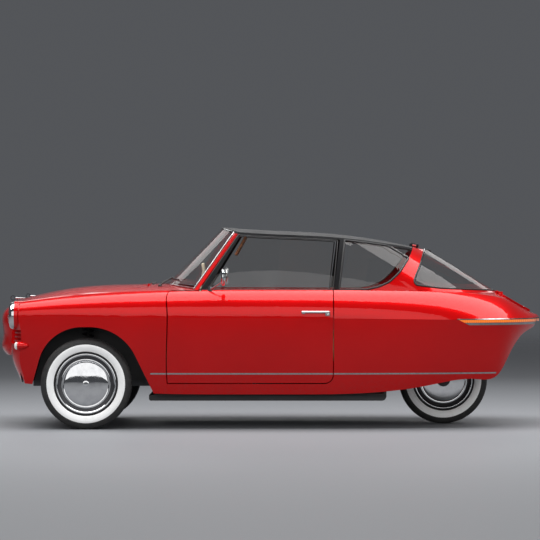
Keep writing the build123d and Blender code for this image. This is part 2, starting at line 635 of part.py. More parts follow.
for side in (1, -1):
    swing = swing + across(arm_face, side * (FORK_Y - 14), side * (FORK_Y + 14))
    swing = swing + box(-812, -768, side * 60, side * 130, 322, 368)
swing = swing + rod("Y", (REAR_AXLE_X, 0, WHEEL_RADIUS), STUB_RADIUS, 2 * FORK_Y)
keep("swing_arm", swing)

# Wheels
HALF_TYRE = TYRE_WIDTH / 2
TREAD_HALF = 50.0
TYRE_PROFILE = [(RIM_RADIUS, 48), (RIM_RADIUS + 47, HALF_TYRE), (WHEEL_RADIUS, TREAD_HALF)]
tyre = turned(TYRE_PROFILE + [(r, -a) for r, a in reversed(TYRE_PROFILE)], "Y")
rim_inner = RIM_RADIUS - RIM_WALL
bore = STUB_RADIUS + RUNNING_FIT
rim = turned([
    (RIM_RADIUS, 48), (rim_inner, 48), (rim_inner, 34), (60, 22), (44, 26), (bore, 26), (bore, -14),
    (40, -14), (44, 10), (60, 12), (rim_inner, 22), (rim_inner, -48), (RIM_RADIUS, -48)], "Y")


def hubcap(hole):
    profile = [(hole, 48), (hole, 66), (30, 64), (110, 60), (150, 54), (165, 49.5), (176, 60), (193, 60),
               (HUBCAP_RADIUS, 51), (HUBCAP_RADIUS, 48)]
    return turned(profile, "Y")


cap = hubcap(0.0)
for side, name in ((1, "front_left"), (-1, "front_right")):
    place = Pos(FRONT_AXLE_X, side * WHEEL_Y, WHEEL_RADIUS)
    keep("tyre_" + name, place * tyre)
    keep("rim_" + name, place * (rim if side == 1 else mirrored(rim)))
    keep("hubcap_" + name, place * (cap if side == 1 else mirrored(cap)))
rear_place = Pos(REAR_AXLE_X, 0, WHEEL_RADIUS)
rear_rim = turned([
    (RIM_RADIUS, 48), (rim_inner, 48), (rim_inner, 8), (50, 8), (44, 60), (bore, 60), (bore, -60), (44, -60),
    (50, -8), (rim_inner, -8), (rim_inner, -48), (RIM_RADIUS, -48)], "Y")
keep("tyre_rear", rear_place * tyre)
keep("rim_rear", rear_place * rear_rim)
rear_cap = hubcap(STUB_RADIUS + 6) - rod("Y", (0, 0, 0), 46, 124)
keep("hubcap_rear", both_sides(rear_cap).moved(Location((REAR_AXLE_X, 0, WHEEL_RADIUS))))

if __name__ == "__main__":
    os.makedirs("parts", exist_ok=True)
    for name, shape in NODES.items():
        print(name, len(shape.solids()), shape.is_valid, round(shape.volume / 1e6, 2))
        export_step(shape, os.path.join("parts", name + ".step"))
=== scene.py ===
"""Looks of a red three-wheeled coupe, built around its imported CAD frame."""
import math

import bmesh
import bpy
from bpy.props import FloatProperty, FloatVectorProperty, IntProperty, PointerProperty
from mathutils import Matrix, Vector


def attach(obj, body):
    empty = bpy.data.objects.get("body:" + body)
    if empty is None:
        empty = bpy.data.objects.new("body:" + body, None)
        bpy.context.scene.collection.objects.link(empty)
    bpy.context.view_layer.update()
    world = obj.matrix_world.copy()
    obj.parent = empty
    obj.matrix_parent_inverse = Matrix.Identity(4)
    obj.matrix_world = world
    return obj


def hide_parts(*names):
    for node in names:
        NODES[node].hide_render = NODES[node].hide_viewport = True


bl_info = {
    "name": "Three-wheeled coupe",
    "version": (1, 0, 0),
    "blender": (4, 5, 0),
    "location": "View3D > Sidebar > Coupe",
    "description": "Dresses the packed frame of a small three-wheeled coupe",
    "category": "Object",
}

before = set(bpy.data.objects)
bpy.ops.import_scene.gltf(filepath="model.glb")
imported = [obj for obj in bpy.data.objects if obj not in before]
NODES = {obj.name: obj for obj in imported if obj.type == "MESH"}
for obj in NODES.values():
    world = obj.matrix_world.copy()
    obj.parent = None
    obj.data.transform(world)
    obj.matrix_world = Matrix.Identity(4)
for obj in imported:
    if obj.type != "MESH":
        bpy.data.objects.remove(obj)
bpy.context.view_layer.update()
SIDES = {"left": 1, "right": -1}


class Value:
    """A shader socket that arithmetic works on; each operator adds one Math node."""

    def __init__(self, finish, socket):
        self.finish = finish
        self.socket = socket

    def _math(self, operation, *terms):
        return self.finish.add("ShaderNodeMath", {"operation": operation}, dict(enumerate(terms)))

    def __add__(self, other):
        return self._math("ADD", self, other)

    __radd__ = __add__

    def __sub__(self, other):
        return self._math("SUBTRACT", self, other)

    def __rsub__(self, other):
        return self._math("SUBTRACT", other, self)

    def __mul__(self, other):
        return self._math("MULTIPLY", self, other)

    __rmul__ = __mul__

    def __or__(self, other):
        """The larger of the two."""
        return self._math("MAXIMUM", self, other)

    def __abs__(self):
        return self._math("ABSOLUTE", self)

    def wave(self):
        return self._math("SINE", self)

    def fade(self, low, high):
        """0 at low, 1 at high, smooth between."""
        return self.finish.add("ShaderNodeMapRange", {"interpolation_type": "SMOOTHSTEP", "clamp": True}, {
            "Value": self, "From Min": low, "From Max": high, "To Min": 0.0, "To Max": 1.0})


class Finish:
    """One material, or the world, and the few ways its nodes are put together."""

    def __init__(self, name, world=None):
        self.owner = world or bpy.data.materials.new(name)
        self.owner.use_nodes = True
        self.tree = self.owner.node_tree
        self.tree.nodes.clear()
        self.output = self.tree.nodes.new("ShaderNodeOutputWorld" if world else "ShaderNodeOutputMaterial")

    def add(self, kind, settings=None, inputs=None, out=0):
        """Add a node: its settings first, then the values or links of its sockets; gives one output."""
        node = self.tree.nodes.new(kind)
        for key, value in (settings or {}).items():
            setattr(node, key, value)
        for key, value in (inputs or {}).items():
            socket = node.inputs[key]
            if isinstance(value, Value):
                self.tree.links.new(value.socket, socket)
            else:
                socket.default_value = value
        return Value(self, node.outputs[out])

    def place(self):
        return self.add("ShaderNodeTexCoord", out="Object")

    def axis(self, letter):
        return self.add("ShaderNodeSeparateXYZ", None, {0: self.place()}, out=letter)

    def noise(self, scale, detail=3.0):
        return self.add("ShaderNodeTexNoise", None, {
            "Vector": self.place(), "Scale": scale, "Detail": detail, "Roughness": 0.55})

    def cells(self, scale, feature="DISTANCE_TO_EDGE"):
        return self.add("ShaderNodeTexVoronoi", {"feature": feature}, {"Vector": self.place(), "Scale": scale})

    def blend(self, factor, a, b):
        """Mix two colours."""
        return self.add("ShaderNodeMix", {"data_type": "RGBA"}, {0: factor, 6: a, 7: b}, out=2)

    def bump(self, height, strength, distance):
        return self.add("ShaderNodeBump", None, {"Height": height, "Strength": strength, "Distance": distance})

    def surface(self, colour, roughness, more=None):
        inputs = {"Base Color": colour, "Roughness": roughness, **(more or {})}
        return self.add("ShaderNodeBsdfPrincipled", None, inputs)

    def mix(self, share, first, second):
        """Mix two shaders and show the result."""
        return self.show(self.add("ShaderNodeMixShader", None, {0: share, 1: first, 2: second}))

    def coat(self, colour, roughness, more=None):
        """A Principled surface that goes to the output."""
        return self.show(self.surface(colour, roughness, more))

    def pane(self, tint, share, sheen, roughness, more=None):
        """Thin see-through glass, glossy over a share of its front."""
        clear = self.add("ShaderNodeBsdfTransparent", None, {"Color": tint})
        front = 1.0 - self.add("ShaderNodeNewGeometry", out="Backfacing")
        return self.mix(share * front, clear, self.surface(sheen, roughness, {"Metallic": 1.0, **(more or {})}))

    def show(self, shader):
        self.tree.links.new(shader.socket, self.output.inputs["Surface"])
        return self.owner


def rgb(red, green, blue):
    return (red, green, blue, 1.0)


def dimmed(tint, *shares):
    """A colour with each of its parts turned down to a share."""
    return rgb(*[part * share for part, share in zip(tint, shares)])


def use(maker):
    """The material of a finish, made once."""
    return bpy.data.materials.get(maker.__name__) or maker()


def recipe(name, build, *values, **more):
    """The maker of a finish that is built from values."""
    def maker():
        return build(Finish(name), *values, **more)

    maker.__name__ = name
    return maker


def red_paint():
    f = Finish("red_paint")
    tint = tuple(bpy.context.scene.coupe_finish.paint)
    cloud = f.noise(3.0, 2.0).fade(0.3, 0.7)
    low = 1.0 - f.axis("Z").fade(0.24, 0.42)
    dust = low * f.noise(46.0, 5.0).fade(0.35, 0.75)
    colour = f.blend(cloud * 0.3, rgb(*tint), dimmed(tint, 0.8, 0.6, 0.6))
    colour = f.blend(dust * 0.12, colour, rgb(0.16, 0.09, 0.08))
    return f.coat(colour, 0.36 + dust * 0.2, {
        "Metallic": 0.55, "Specular IOR Level": 0.0, "Normal": f.bump(f.noise(900.0, 1.0), 0.02, 0.0002),
        "Coat Weight": 1.0 - dust * 0.4, "Coat Roughness": 0.03, "Coat IOR": 1.33})


def window_glass():
    """Clear glass, glossy at a slant, with a faint wiped film."""
    f = Finish("window_glass")
    film = f.noise(9.0, 3.0).fade(0.4, 0.8)
    edge = f.add("ShaderNodeFresnel", None, {"IOR": 1.45})
    share = edge * 0.45 + film * 0.012 + 0.012
    return f.pane(rgb(0.965, 0.962, 0.955), share, rgb(0.95, 0.91, 0.89), 0.015 + film * 0.02)


def fluted_glass():
    """Clear lamp glass with upright flutes."""
    f = Finish("fluted_glass")
    flutes = (f.axis("Y") * 620.0).wave() * 0.5 + 0.5
    bend = {"Normal": f.bump(flutes, 0.35, 0.002)}
    edge = f.add("ShaderNodeFresnel", None, {"IOR": 1.5, **bend})
    share = edge + flutes * 0.05
    return f.pane(rgb(0.95, 0.96, 0.96), share, rgb(0.92, 0.94, 0.95), 0.02 + flutes * 0.03, bend)


def soft_rubber():
    f = Finish("soft_rubber")
    bloom = f.noise(60.0, 4.0).fade(0.4, 0.75)
    colour = f.blend(bloom, rgb(0.008, 0.008, 0.009), rgb(0.022, 0.021, 0.02))
    return f.coat(colour, 0.45 + bloom * 0.25, {"Normal": f.bump(bloom, 0.1, 0.0004)})


def ribbed_lens(f, tint, scale, glow):
    ribs = (f.axis("X") * scale).wave() * 0.5 + 0.5
    colour = f.blend(ribs * 0.6, rgb(*tint), dimmed(tint, 0.55, 0.45, 0.45))
    return f.coat(colour, 0.1 + ribs * 0.08, {
        "Coat Weight": 1.0, "Coat Roughness": 0.02, "Emission Color": colour, "Emission Strength": glow,
        "Normal": f.bump(ribs, 0.3, 0.0012)})


def leather(f, pleats):
    """Grained hide with fine creases; pleats, where wanted, run upright every 44 mm, with painted shade darkening
    the sewn grooves between them.
    """
    tint = tuple(bpy.context.scene.coupe_finish.leather)
    crack = f.cells(380.0).fade(0.0, 0.14)
    worn = f.noise(22.0, 2.0).fade(0.3, 0.75)
    colour = f.blend(worn * 0.28, rgb(*tint), dimmed(tint, 0.66, 0.62, 0.58))
    colour = f.blend((1.0 - crack) * 0.35, colour, dimmed(tint, 0.4, 0.35, 0.3))
    height, strength, depth = crack * 0.12, 0.25, 0.006
    if pleats:
        fold_and_shade = abs((f.axis("X") * (math.pi / 0.044)).wave()).fade(0.0, 0.55)
        # Painted shade: the colour turns dark in the grooves between the pleats, where the bump sinks
        colour = f.blend((1.0 - fold_and_shade) * 0.7, colour, dimmed(tint, 0.3, 0.26, 0.22))
        height, strength, depth = height + fold_and_shade, 0.7, 0.004
    return f.coat(colour, 0.44 + worn * 0.14, {"Normal": f.bump(height, strength, depth)})


def loop_carpet():
    f = Finish("loop_carpet")
    loops = f.cells(420.0, "F1")
    worn = f.noise(5.0, 4.0).fade(0.35, 0.7)
    colour = f.blend(worn, rgb(0.022, 0.02, 0.019), rgb(0.045, 0.04, 0.036))
    colour = f.blend(loops.fade(0.1, 0.7) * 0.5, colour, rgb(0.01, 0.009, 0.009))
    return f.coat(colour, 0.95, {"Normal": f.bump(1.0 - loops, 0.6, 0.003)})


def aged(f, wear, new, old, rough, share=1.0, metal=0.0, specular=0.5, grain=None):
    """A surface that ages in patches.

    wear: scale and detail of the patches, and where they begin and end; new, old: its two tones, and share how
    far it goes to the old one; rough: the roughness, and what age adds; grain: scale, detail, strength and depth.
    """
    age = f.noise(*wear[:2]).fade(*wear[2:])
    more = {"Metallic": metal, "Specular IOR Level": specular}
    if grain:
        more["Normal"] = f.bump(f.noise(*grain[:2]), *grain[2:])
    return f.coat(f.blend(age * share, rgb(*new), rgb(*old)), rough[0] + age * rough[1], more)


orange_lens = recipe("orange_lens", ribbed_lens, (0.9, 0.19, 0.006), 420.0, 0.45)
ruby_lens = recipe("ruby_lens", ribbed_lens, (0.42, 0.006, 0.006), 300.0, 0.1)
white_lens = recipe("white_lens", ribbed_lens, (0.85, 0.85, 0.83), 700.0, 0.1)
tan_leather = recipe("tan_leather", leather, False)
pleated_leather = recipe("pleated_leather", leather, True)
bright_chrome = recipe(
    "bright_chrome", aged, (24.0, 4.0, 0.35, 0.75), (0.58, 0.585, 0.59), (0.5, 0.505, 0.515), (0.03, 0.05),
    metal=1.0, grain=(420.0, 2.0, 0.01, 0.0003))
dull_strip = recipe(
    "dull_strip", aged, (60.0, 4.0, 0.35, 0.75), (0.4, 0.38, 0.38), (0.3, 0.28, 0.28), (0.14, 0.14), metal=1.0)
mirror_silver = recipe(
    "mirror_silver", aged, (30.0, 3.0, 0.45, 0.8), (0.86, 0.88, 0.89), (0.78, 0.8, 0.82), (0.01, 0.03), metal=1.0)
roof_black = recipe(
    "roof_black", aged, (7.0, 4.0, 0.35, 0.7), (0.01, 0.01, 0.011), (0.013, 0.013, 0.014), (0.42, 0.04),
    specular=0.07, grain=(700.0, 2.0, 0.04, 0.0003))
moulded_black = recipe(
    "moulded_black", aged, (11.0, 4.0, 0.45, 0.8), (0.009, 0.009, 0.01), (0.035, 0.033, 0.03), (0.52, 0.25),
    share=0.5, grain=(260.0, 3.0, 0.12, 0.0006))
tyre_rubber = recipe(
    "tyre_rubber", aged, (30.0, 5.0, 0.35, 0.75), (0.01, 0.01, 0.011), (0.028, 0.027, 0.025), (0.58, 0.2),
    grain=(300.0, 3.0, 0.15, 0.0005))
whitewall = recipe(
    "whitewall", aged, (40.0, 5.0, 0.5, 0.85), (0.88, 0.88, 0.87), (0.6, 0.58, 0.54), (0.45, 0.2),
    share=0.3, grain=(240.0, 3.0, 0.06, 0.0004))
wheel_steel = recipe(
    "wheel_steel", aged, (140.0, 4.0, 0.4, 0.7), (0.06, 0.06, 0.064), (0.036, 0.036, 0.038), (0.36, 0.15),
    share=0.5, metal=0.7)
cast_iron = recipe(
    "cast_iron", aged, (17.0, 5.0, 0.5, 0.8), (0.05, 0.05, 0.055), (0.1, 0.06, 0.04), (0.5, 0.3),
    share=0.6, metal=0.5, grain=(90.0, 5.0, 0.3, 0.001))
spring_paint = recipe(
    "spring_paint", aged, (120.0, 4.0, 0.55, 0.75), (0.008, 0.008, 0.009), (0.05, 0.036, 0.028), (0.4, 0.4),
    specular=0.15)
dial_face = recipe(
    "dial_face", aged, (500.0, 2.0, 0.4, 0.6), (0.01, 0.01, 0.011), (0.018, 0.018, 0.019), (0.35, 0.1))
ivory_paint = recipe(
    "ivory_paint", aged, (60.0, 3.0, 0.3, 0.7), (0.72, 0.66, 0.52), (0.62, 0.55, 0.42), (0.3, 0.1))


def colour_field(name, description, default):
    return FloatVectorProperty(
        name=name, description=description, subtype="COLOR", size=3, min=0.0, max=1.0, default=default)


def length_field(name, description, default):
    return FloatProperty(name=name, description=description, unit="LENGTH", default=default)


class CoupeFinish(bpy.types.PropertyGroup):
    """Colours that a user would change."""

    paint: colour_field("Paint", "Colour of the body", (0.54, 0.0025, 0.0032))
    leather: colour_field("Leather", "Colour of the seats and trim", (0.38, 0.165, 0.066))
    floor: colour_field("Floor", "Colour of the studio floor", (0.21, 0.217, 0.23))


class CoupeSizes(bpy.types.PropertyGroup):
    """Sizes that a user would change."""

    camera_distance: length_field("Camera distance", "From the car's middle line to the camera", 19.0)
    camera_height: length_field("Camera height", "Above the floor", 1.1)
    gasket: length_field("Gasket", "Radius of the rubber bead round a pane", 0.0036)
    strip: length_field("Bright strip", "Radius of the bright bead round the screens", 0.0034)
    whitewall_low: length_field("White band from", "Inner radius of the white band", 0.2116)
    whitewall_high: length_field("White band to", "Outer radius of the white band", 0.2582)
    tread_steps: IntProperty(
        name="Tread steps", description="Faces round a tyre, three to each cut in the tread", default=180)


# Which way a profile's radius and length run, by the axis that it is turned about
AXES = {
    "X": (Vector((0, 1, 0)), Vector((1, 0, 0))),
    "Y": (Vector((0, 0, 1)), Vector((0, 1, 0))),
    "Z": (Vector((1, 0, 0)), Vector((0, 0, 1))),
}
ORIGIN = (0.0, 0.0, 0.0)


def leaning(place, degrees):
    """The matrix of a piece at a place that leans about the crosswise axis."""
    return Matrix.Translation(place) @ Matrix.Rotation(math.radians(degrees), 4, "Y")


def facing(place, way):
    """The matrix of a piece at a place whose own Z points along a way."""
    return Matrix.Translation(place) @ way.to_track_quat("Z", "Y").to_matrix().to_4x4()


def new_object(name, data):
    obj = bpy.data.objects.new(name, data)
    bpy.context.scene.collection.objects.link(obj)
    return obj


def mesh_of(name, shape):
    """Turn a bmesh into a mesh and let go of it."""
    mesh = bpy.data.meshes.new(name)
    shape.to_mesh(mesh)
    shape.free()
    return mesh


def turned(shape, profile, centre, axis, steps, sign=1):
    """Spin a profile of (radius, along) points about an axis through a centre; sign -1 turns it over."""
    across, along = AXES[axis]
    centre = Vector(centre)
    rim = [shape.verts.new(centre + across * radius + along * (sign * way)) for radius, way in profile]
    loop = list(zip(rim, rim[1:]))
    if profile[0][0] > 0.0 or profile[-1][0] > 0.0:
        loop.append((rim[-1], rim[0]))
    edges = [shape.edges.new(pair) for pair in loop]
    bmesh.ops.spin(
        shape, geom=rim + edges, cent=centre, axis=along, angle=math.tau, steps=steps, use_merge=True)


def turned_at(shape, profile, place, steps):
    """Spin a profile about Z, then move it by a matrix and add it."""
    own = bmesh.new()
    turned(own, profile, ORIGIN, "Z", steps)
    join(shape, own, place)


def rod(shape, start, end, radius, tip=None):
    """A straight bar between two points, tapered where a tip is given."""
    start, end = Vector(start), Vector(end)
    run = end - start
    bmesh.ops.create_cone(
        shape, cap_ends=True, segments=20, radius1=radius, radius2=radius if tip is None else tip,
        depth=run.length, matrix=facing((start + end) / 2, run))


def block(shape, low, high, edge=0.004, place=None, segments=3):
    """A box with rounded edges, turned and moved by a matrix where one is given."""
    low, high = Vector(low), Vector(high)
    own = bmesh.new()
    bmesh.ops.create_cube(
        own, size=1.0, matrix=Matrix.Translation((low + high) / 2) @ Matrix.Diagonal((*(high - low), 1.0)))
    bmesh.ops.bevel(
        own, geom=own.edges[:], offset=edge, segments=segments, profile=0.5, affect="EDGES", material=-1)
    join(shape, own, place)


def slab(shape, x, y, z, half, edge, segments=3):
    """A rounded box between two X and two Z, half as thick on each side of a Y."""
    block(shape, (x[0], y - half, z[0]), (x[1], y + half, z[1]), edge, None, segments)


def join(shape, other, place=None):
    """Move another bmesh to its place and add it."""
    if place is not None:
        bmesh.ops.transform(other, matrix=place, verts=other.verts[:])
    mesh = mesh_of("joined", other)
    shape.from_mesh(mesh)
    bpy.data.meshes.remove(mesh)


def settle(obj, body, makers, replaces=()):
    """Give a piece its finishes and body, and hide the nodes that it replaces."""
    for maker in makers:
        obj.data.materials.append(use(maker))
    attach(obj, body)
    if replaces:
        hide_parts(*replaces)


def piece(name, shape, body, makers, sharp=35.0, replaces=()):
    """Turn a bmesh into a piece that rides on a body."""
    bmesh.ops.remove_doubles(shape, verts=shape.verts[:], dist=1e-6)
    bmesh.ops.recalc_face_normals(shape, faces=shape.faces[:])
    for face in shape.faces:
        face.smooth = True
    mesh = mesh_of(name, shape)
    mesh.set_sharp_from_angle(angle=math.radians(sharp))
    settle(new_object(name, mesh), body, makers, replaces)


def dress(names, maker):
    for name in names.split():
        slots = NODES[name].data.materials
        slots.clear()
        slots.append(use(maker))


class COUPE_OT_dress_frame(bpy.types.Operator):
    """Give every carried-over node its finish"""

    bl_idname = "coupe.dress_frame"
    bl_label = "Dress the frame"

    def execute(self, context):
        dress("front_body rear_body bonnet boot_lid roof_hoop windscreen_posts door_left door_right indicator_pods "
              "intake_slats", red_paint)
        dress("wing_ornaments mirror_left mirror_right", bright_chrome)
        dress("tail_trims body_trims door_trim_left door_trim_right", dull_strip)
        dress("windscreen rear_window quarter_windows door_glass_left door_glass_right", window_glass)
        dress("tail_lamp", orange_lens)
        dress("roof_panel door_posts", roof_black)
        dress("arch_liners battery_pack dashboard", moulded_black)
        dress("floor_pan firewall rear_bulkhead", loop_carpet)
        dress("front_subframe swing_arm knuckle_left knuckle_right", cast_iron)
        dress("rim_front_left rim_front_right rim_rear", wheel_steel)
        return {"FINISHED"}


FRONT_AXLE_X, REAR_AXLE_X, AXLE_Z, WHEEL_Y = 1.209, -1.179, 0.3, 0.665
WHEELS = (
    # name, body, centre, sides that show
    ("front_left", "wheel_left", (FRONT_AXLE_X, WHEEL_Y, AXLE_Z), (1,)),
    ("front_right", "wheel_right", (FRONT_AXLE_X, -WHEEL_Y, AXLE_Z), (-1,)),
    ("rear", "wheel_rear", (REAR_AXLE_X, 0.0, AXLE_Z), (1, -1)),
)
# Half of a tyre's section, from the rim to the middle of the tread
TYRE_HALF = [
    (0.2035, 0.047), (0.206, 0.054), (0.2116, 0.06), (0.2128, 0.0618), (0.22, 0.0655), (0.232, 0.0695),
    (0.244, 0.0714), (0.256, 0.0716), (0.2582, 0.0706), (0.26, 0.0716), (0.263, 0.0712), (0.272, 0.0685),
    (0.282, 0.0635), (0.29, 0.057), (0.2955, 0.0505), (0.2982, 0.044), (0.299, 0.031), (0.293, 0.0295),
    (0.293, 0.0255), (0.2996, 0.024), (0.3, 0.004), (0.294, 0.0025),
]
TREAD_RADIUS, TREAD_PITCH, CUT_EDGE, CUT_DEPTH = 0.2945, 3, 0.0032, 0.0045
SIDEWALL_Y, MID_GROOVE_Y = 0.058, 0.004
CAP_DOME = [
    (0.0, 0.0658), (0.012, 0.0656), (0.02, 0.0648), (0.0225, 0.0632), (0.05, 0.0622), (0.085, 0.06),
    (0.115, 0.057), (0.135, 0.0537), (0.1445, 0.0505), (0.1465, 0.049), (0.15, 0.05), (0.156, 0.0512),
    (0.162, 0.05), (0.1648, 0.047), (0.1648, 0.044), (0.0, 0.044),
]
# The rear caps are open in the middle, where the swing arm's axle comes through
REAR_DOME = [(0.047, 0.044), (0.047, 0.0622)] + CAP_DOME[5:-1]
CAP_RING = [
    (0.164, 0.044), (0.1655, 0.0465), (0.175, 0.05), (0.185, 0.055), (0.1885, 0.059), (0.1915, 0.0608),
    (0.195, 0.061), (0.198, 0.0596), (0.2, 0.0565), (0.2, 0.049), (0.196, 0.044),
]
# Radii of the trim ring's dish, which takes the dark wheel steel in place of chrome: a painted dark reflection of
# the ground and tyre
PAINTED_REFLECTION_RING = (0.1655, 0.185)


class COUPE_OT_wheels(bpy.types.Operator):
    """White-banded tyres, stepped caps and bright trim rings"""

    bl_idname = "coupe.wheels"
    bl_label = "Wheels"

    def execute(self, context):
        sizes = context.scene.coupe_sizes
        for name, body, centre, sides in WHEELS:
            middle = Vector(centre)
            tyre, cap = bmesh.new(), bmesh.new()
            turned(tyre, TYRE_HALF + [(r, -a) for r, a in reversed(TYRE_HALF)], centre, "Y", sizes.tread_steps)
            cuts = []
            for face in tyre.faces:
                spot = face.calc_center_median() - middle
                radius = math.hypot(spot.x, spot.z)
                in_band = sizes.whitewall_low < radius < sizes.whitewall_high
                if in_band and abs(spot.y) > SIDEWALL_Y and math.copysign(1, spot.y) in sides:
                    face.material_index = 1
                step = round(math.atan2(spot.z, spot.x) / math.tau * sizes.tread_steps - 0.5)
                if radius > TREAD_RADIUS and abs(spot.y) > MID_GROOVE_Y and step % TREAD_PITCH == 0:
                    cuts.append(face)
            bmesh.ops.inset_individual(tyre, faces=cuts, thickness=CUT_EDGE, depth=-CUT_DEPTH)
            piece("road_tyre_" + name, tyre, body, (tyre_rubber, whitewall), 40.0, ("tyre_" + name,))
            for side in sides:
                for profile in (REAR_DOME if name == "rear" else CAP_DOME, CAP_RING):
                    turned(cap, profile, centre, "Y", 120, side)
            # Painted reflection: faces on the dish of the trim ring get the dark steel finish
            for face in cap.faces:
                spot = face.calc_center_median() - middle
                if PAINTED_REFLECTION_RING[0] < math.hypot(spot.x, spot.z) < PAINTED_REFLECTION_RING[1]:
                    face.material_index = 1
            piece("wheel_cap_" + name, cap, body, (bright_chrome, wheel_steel), 30.0, ("hubcap_" + name,))
        return {"FINISHED"}


# Where each pair of front lamps sits: out from the middle, and up
HEADLAMP, FRONT_LAMP = (0.575, 0.745), (0.684, 0.549)
HEADLAMP_RING = [
    (0.086, 1.6825), (0.0905, 1.6835), (0.0917, 1.69), (0.0908, 1.7), (0.087, 1.711), (0.081, 1.7185),
    (0.076, 1.7213), (0.0722, 1.72), (0.0703, 1.715), (0.0703, 1.684),
]
HEADLAMP_GLASS = [
    (0.0, 1.736), (0.02, 1.7352), (0.04, 1.732), (0.055, 1.727), (0.064, 1.7215), (0.0695, 1.714),
    (0.0695, 1.7105), (0.062, 1.717), (0.05, 1.7235), (0.03, 1.73), (0.0, 1.733),
]
HEADLAMP_BOWL = [
    (0.069, 1.71), (0.06, 1.69), (0.045, 1.67), (0.025, 1.655), (0.0, 1.65), (0.0, 1.647),
    (0.026, 1.652), (0.0465, 1.668), (0.0615, 1.689), (0.0698, 1.7095),
]
HEADLAMP_BULB = [
    (0.0, 1.649), (0.008, 1.65), (0.008, 1.664), (0.011, 1.67), (0.012, 1.678), (0.0095, 1.686),
    (0.0, 1.69),
]
FRONT_LENS = [
    (0.0, 1.683), (0.01, 1.682), (0.019, 1.6785), (0.0245, 1.6725), (0.0262, 1.665), (0.0262, 1.6615),
    (0.0, 1.6615),
]
FRONT_BAND = [(0.0258, 1.66), (0.0292, 1.6605), (0.0296, 1.664), (0.028, 1.666), (0.026, 1.6655)]
LAMPS = (
    # name, place, profile, steps, finish, slot, sharp angle, nodes that it replaces
    ("headlamp_bezels", HEADLAMP, HEADLAMP_RING, 96, bright_chrome, "chrome", 40.0, ("headlamp_rings",)),
    ("headlamp_glasses", HEADLAMP, HEADLAMP_GLASS, 72, fluted_glass, "lamp", 40.0, ("headlamp_lenses",)),
    ("headlamp_bowls", HEADLAMP, HEADLAMP_BOWL, 64, bright_chrome, "chrome", 35.0, ()),
    ("headlamp_bulbs", HEADLAMP, HEADLAMP_BULB, 24, white_lens, "lamp", 35.0, ()),
    ("position_lenses", FRONT_LAMP, FRONT_LENS, 48, white_lens, "lamp", 40.0, ("indicator_lenses",)),
    ("position_bands", FRONT_LAMP, FRONT_BAND, 48, bright_chrome, "chrome", 35.0, ()),
)
BRAKE_LAMP = leaning((-0.981, 0.0, 1.211), -11.0)


class COUPE_OT_lamps(bpy.types.Operator):
    """Headlamps with reflectors and bulbs, front position lamps and the roof brake lamp"""

    bl_idname = "coupe.lamps"
    bl_label = "Lamps"

    def execute(self, context):
        for name, (out, up), profile, steps, maker, slot, sharp, replaces in LAMPS:
            shape = bmesh.new()
            for sign in SIDES.values():
                turned(shape, profile, (0.0, sign * out, up), "X", steps)
            piece(name, shape, "chassis", (maker,), sharp, replaces)
        pod, lens = bmesh.new(), bmesh.new()
        block(pod, (-0.03, -0.06, -0.018), (0.03, 0.06, 0.017), 0.012, BRAKE_LAMP, 5)
        piece("brake_pod", pod, "chassis", (roof_black,), 60.0, ("brake_lamp_pod",))
        block(lens, (-0.0318, -0.044, -0.007), (-0.02, 0.044, 0.009), 0.0035, BRAKE_LAMP)
        for sign in SIDES.values():
            end = sign * 0.056
            block(lens, (-0.014, end - 0.005, -0.005), (0.014, end + 0.005, 0.008), 0.0035, BRAKE_LAMP)
        piece("brake_lens", lens, "chassis", (ruby_lens,))
        return {"FINISHED"}


def welded(node):
    """A copy of a CAD node with its seams merged."""
    shape = bmesh.new()
    shape.from_mesh(NODES[node].data)
    bmesh.ops.remove_doubles(shape, verts=shape.verts[:], dist=2e-5)
    shape.normal_update()
    return shape


def outline(node, outward, least):
    """The sharp outer edges of a pane, as a bmesh of edges alone."""
    shape = welded(node)

    def outer(face):
        way = Vector(outward)
        if way.y:
            way.y = math.copysign(way.y, face.calc_center_median().y)
        return face.normal.dot(way) > least

    rim = {e for e in shape.edges if len(e.link_faces) == 2 and len([f for f in e.link_faces if outer(f)]) == 1}
    bmesh.ops.delete(shape, geom=shape.faces[:], context="FACES_ONLY")
    bmesh.ops.delete(shape, geom=[e for e in shape.edges if e not in rim], context="EDGES")
    return shape


def outer_skin(node, outward, least):
    """The outer face of a node, without its back and edges."""
    shape = welded(node)
    hidden = [face for face in shape.faces if face.normal.dot(Vector(outward)) <= least]
    bmesh.ops.delete(shape, geom=hidden, context="FACES")
    return shape


def sliced(shape, spot, way):
    """Cut a sheet by a plane and keep the side that the way points to."""
    bmesh.ops.bisect_plane(
        shape, geom=shape.verts[:] + shape.edges[:] + shape.faces[:], plane_co=spot, plane_no=way, clear_inner=True)


def bead(name, shape, radius, body, maker, move=ORIGIN, where=None):
    """A round bead along loose edges, made by turning them into a bevelled curve and back."""
    bmesh.ops.translate(shape, vec=Vector(move), verts=shape.verts[:])
    if where:
        spare = [edge for edge in shape.edges if not where((edge.verts[0].co + edge.verts[1].co) / 2)]
        bmesh.ops.delete(shape, geom=spare, context="EDGES")
    obj = new_object(name, mesh_of(name, shape))
    for other in bpy.context.selected_objects:
        other.select_set(False)
    bpy.context.view_layer.objects.active = obj
    obj.select_set(True)
    bpy.ops.object.convert(target="CURVE")
    obj.data.bevel_depth = radius
    obj.data.bevel_resolution = 3
    obj.data.use_fill_caps = True
    bpy.ops.object.convert(target="MESH")
    obj.select_set(False)
    shaped = bmesh.new()
    shaped.from_mesh(obj.data)
    bpy.data.objects.remove(obj)
    piece(name, shaped, body, (maker,), 60.0)


STRIP_LIFT = 0.005
# The dark corner in front of the door window: a point on its rear edge, and the way to the corner
CORNER_SPOT, CORNER_WAY = (0.412, 0.0, 0.925), (0.335, 0.0, 0.206)


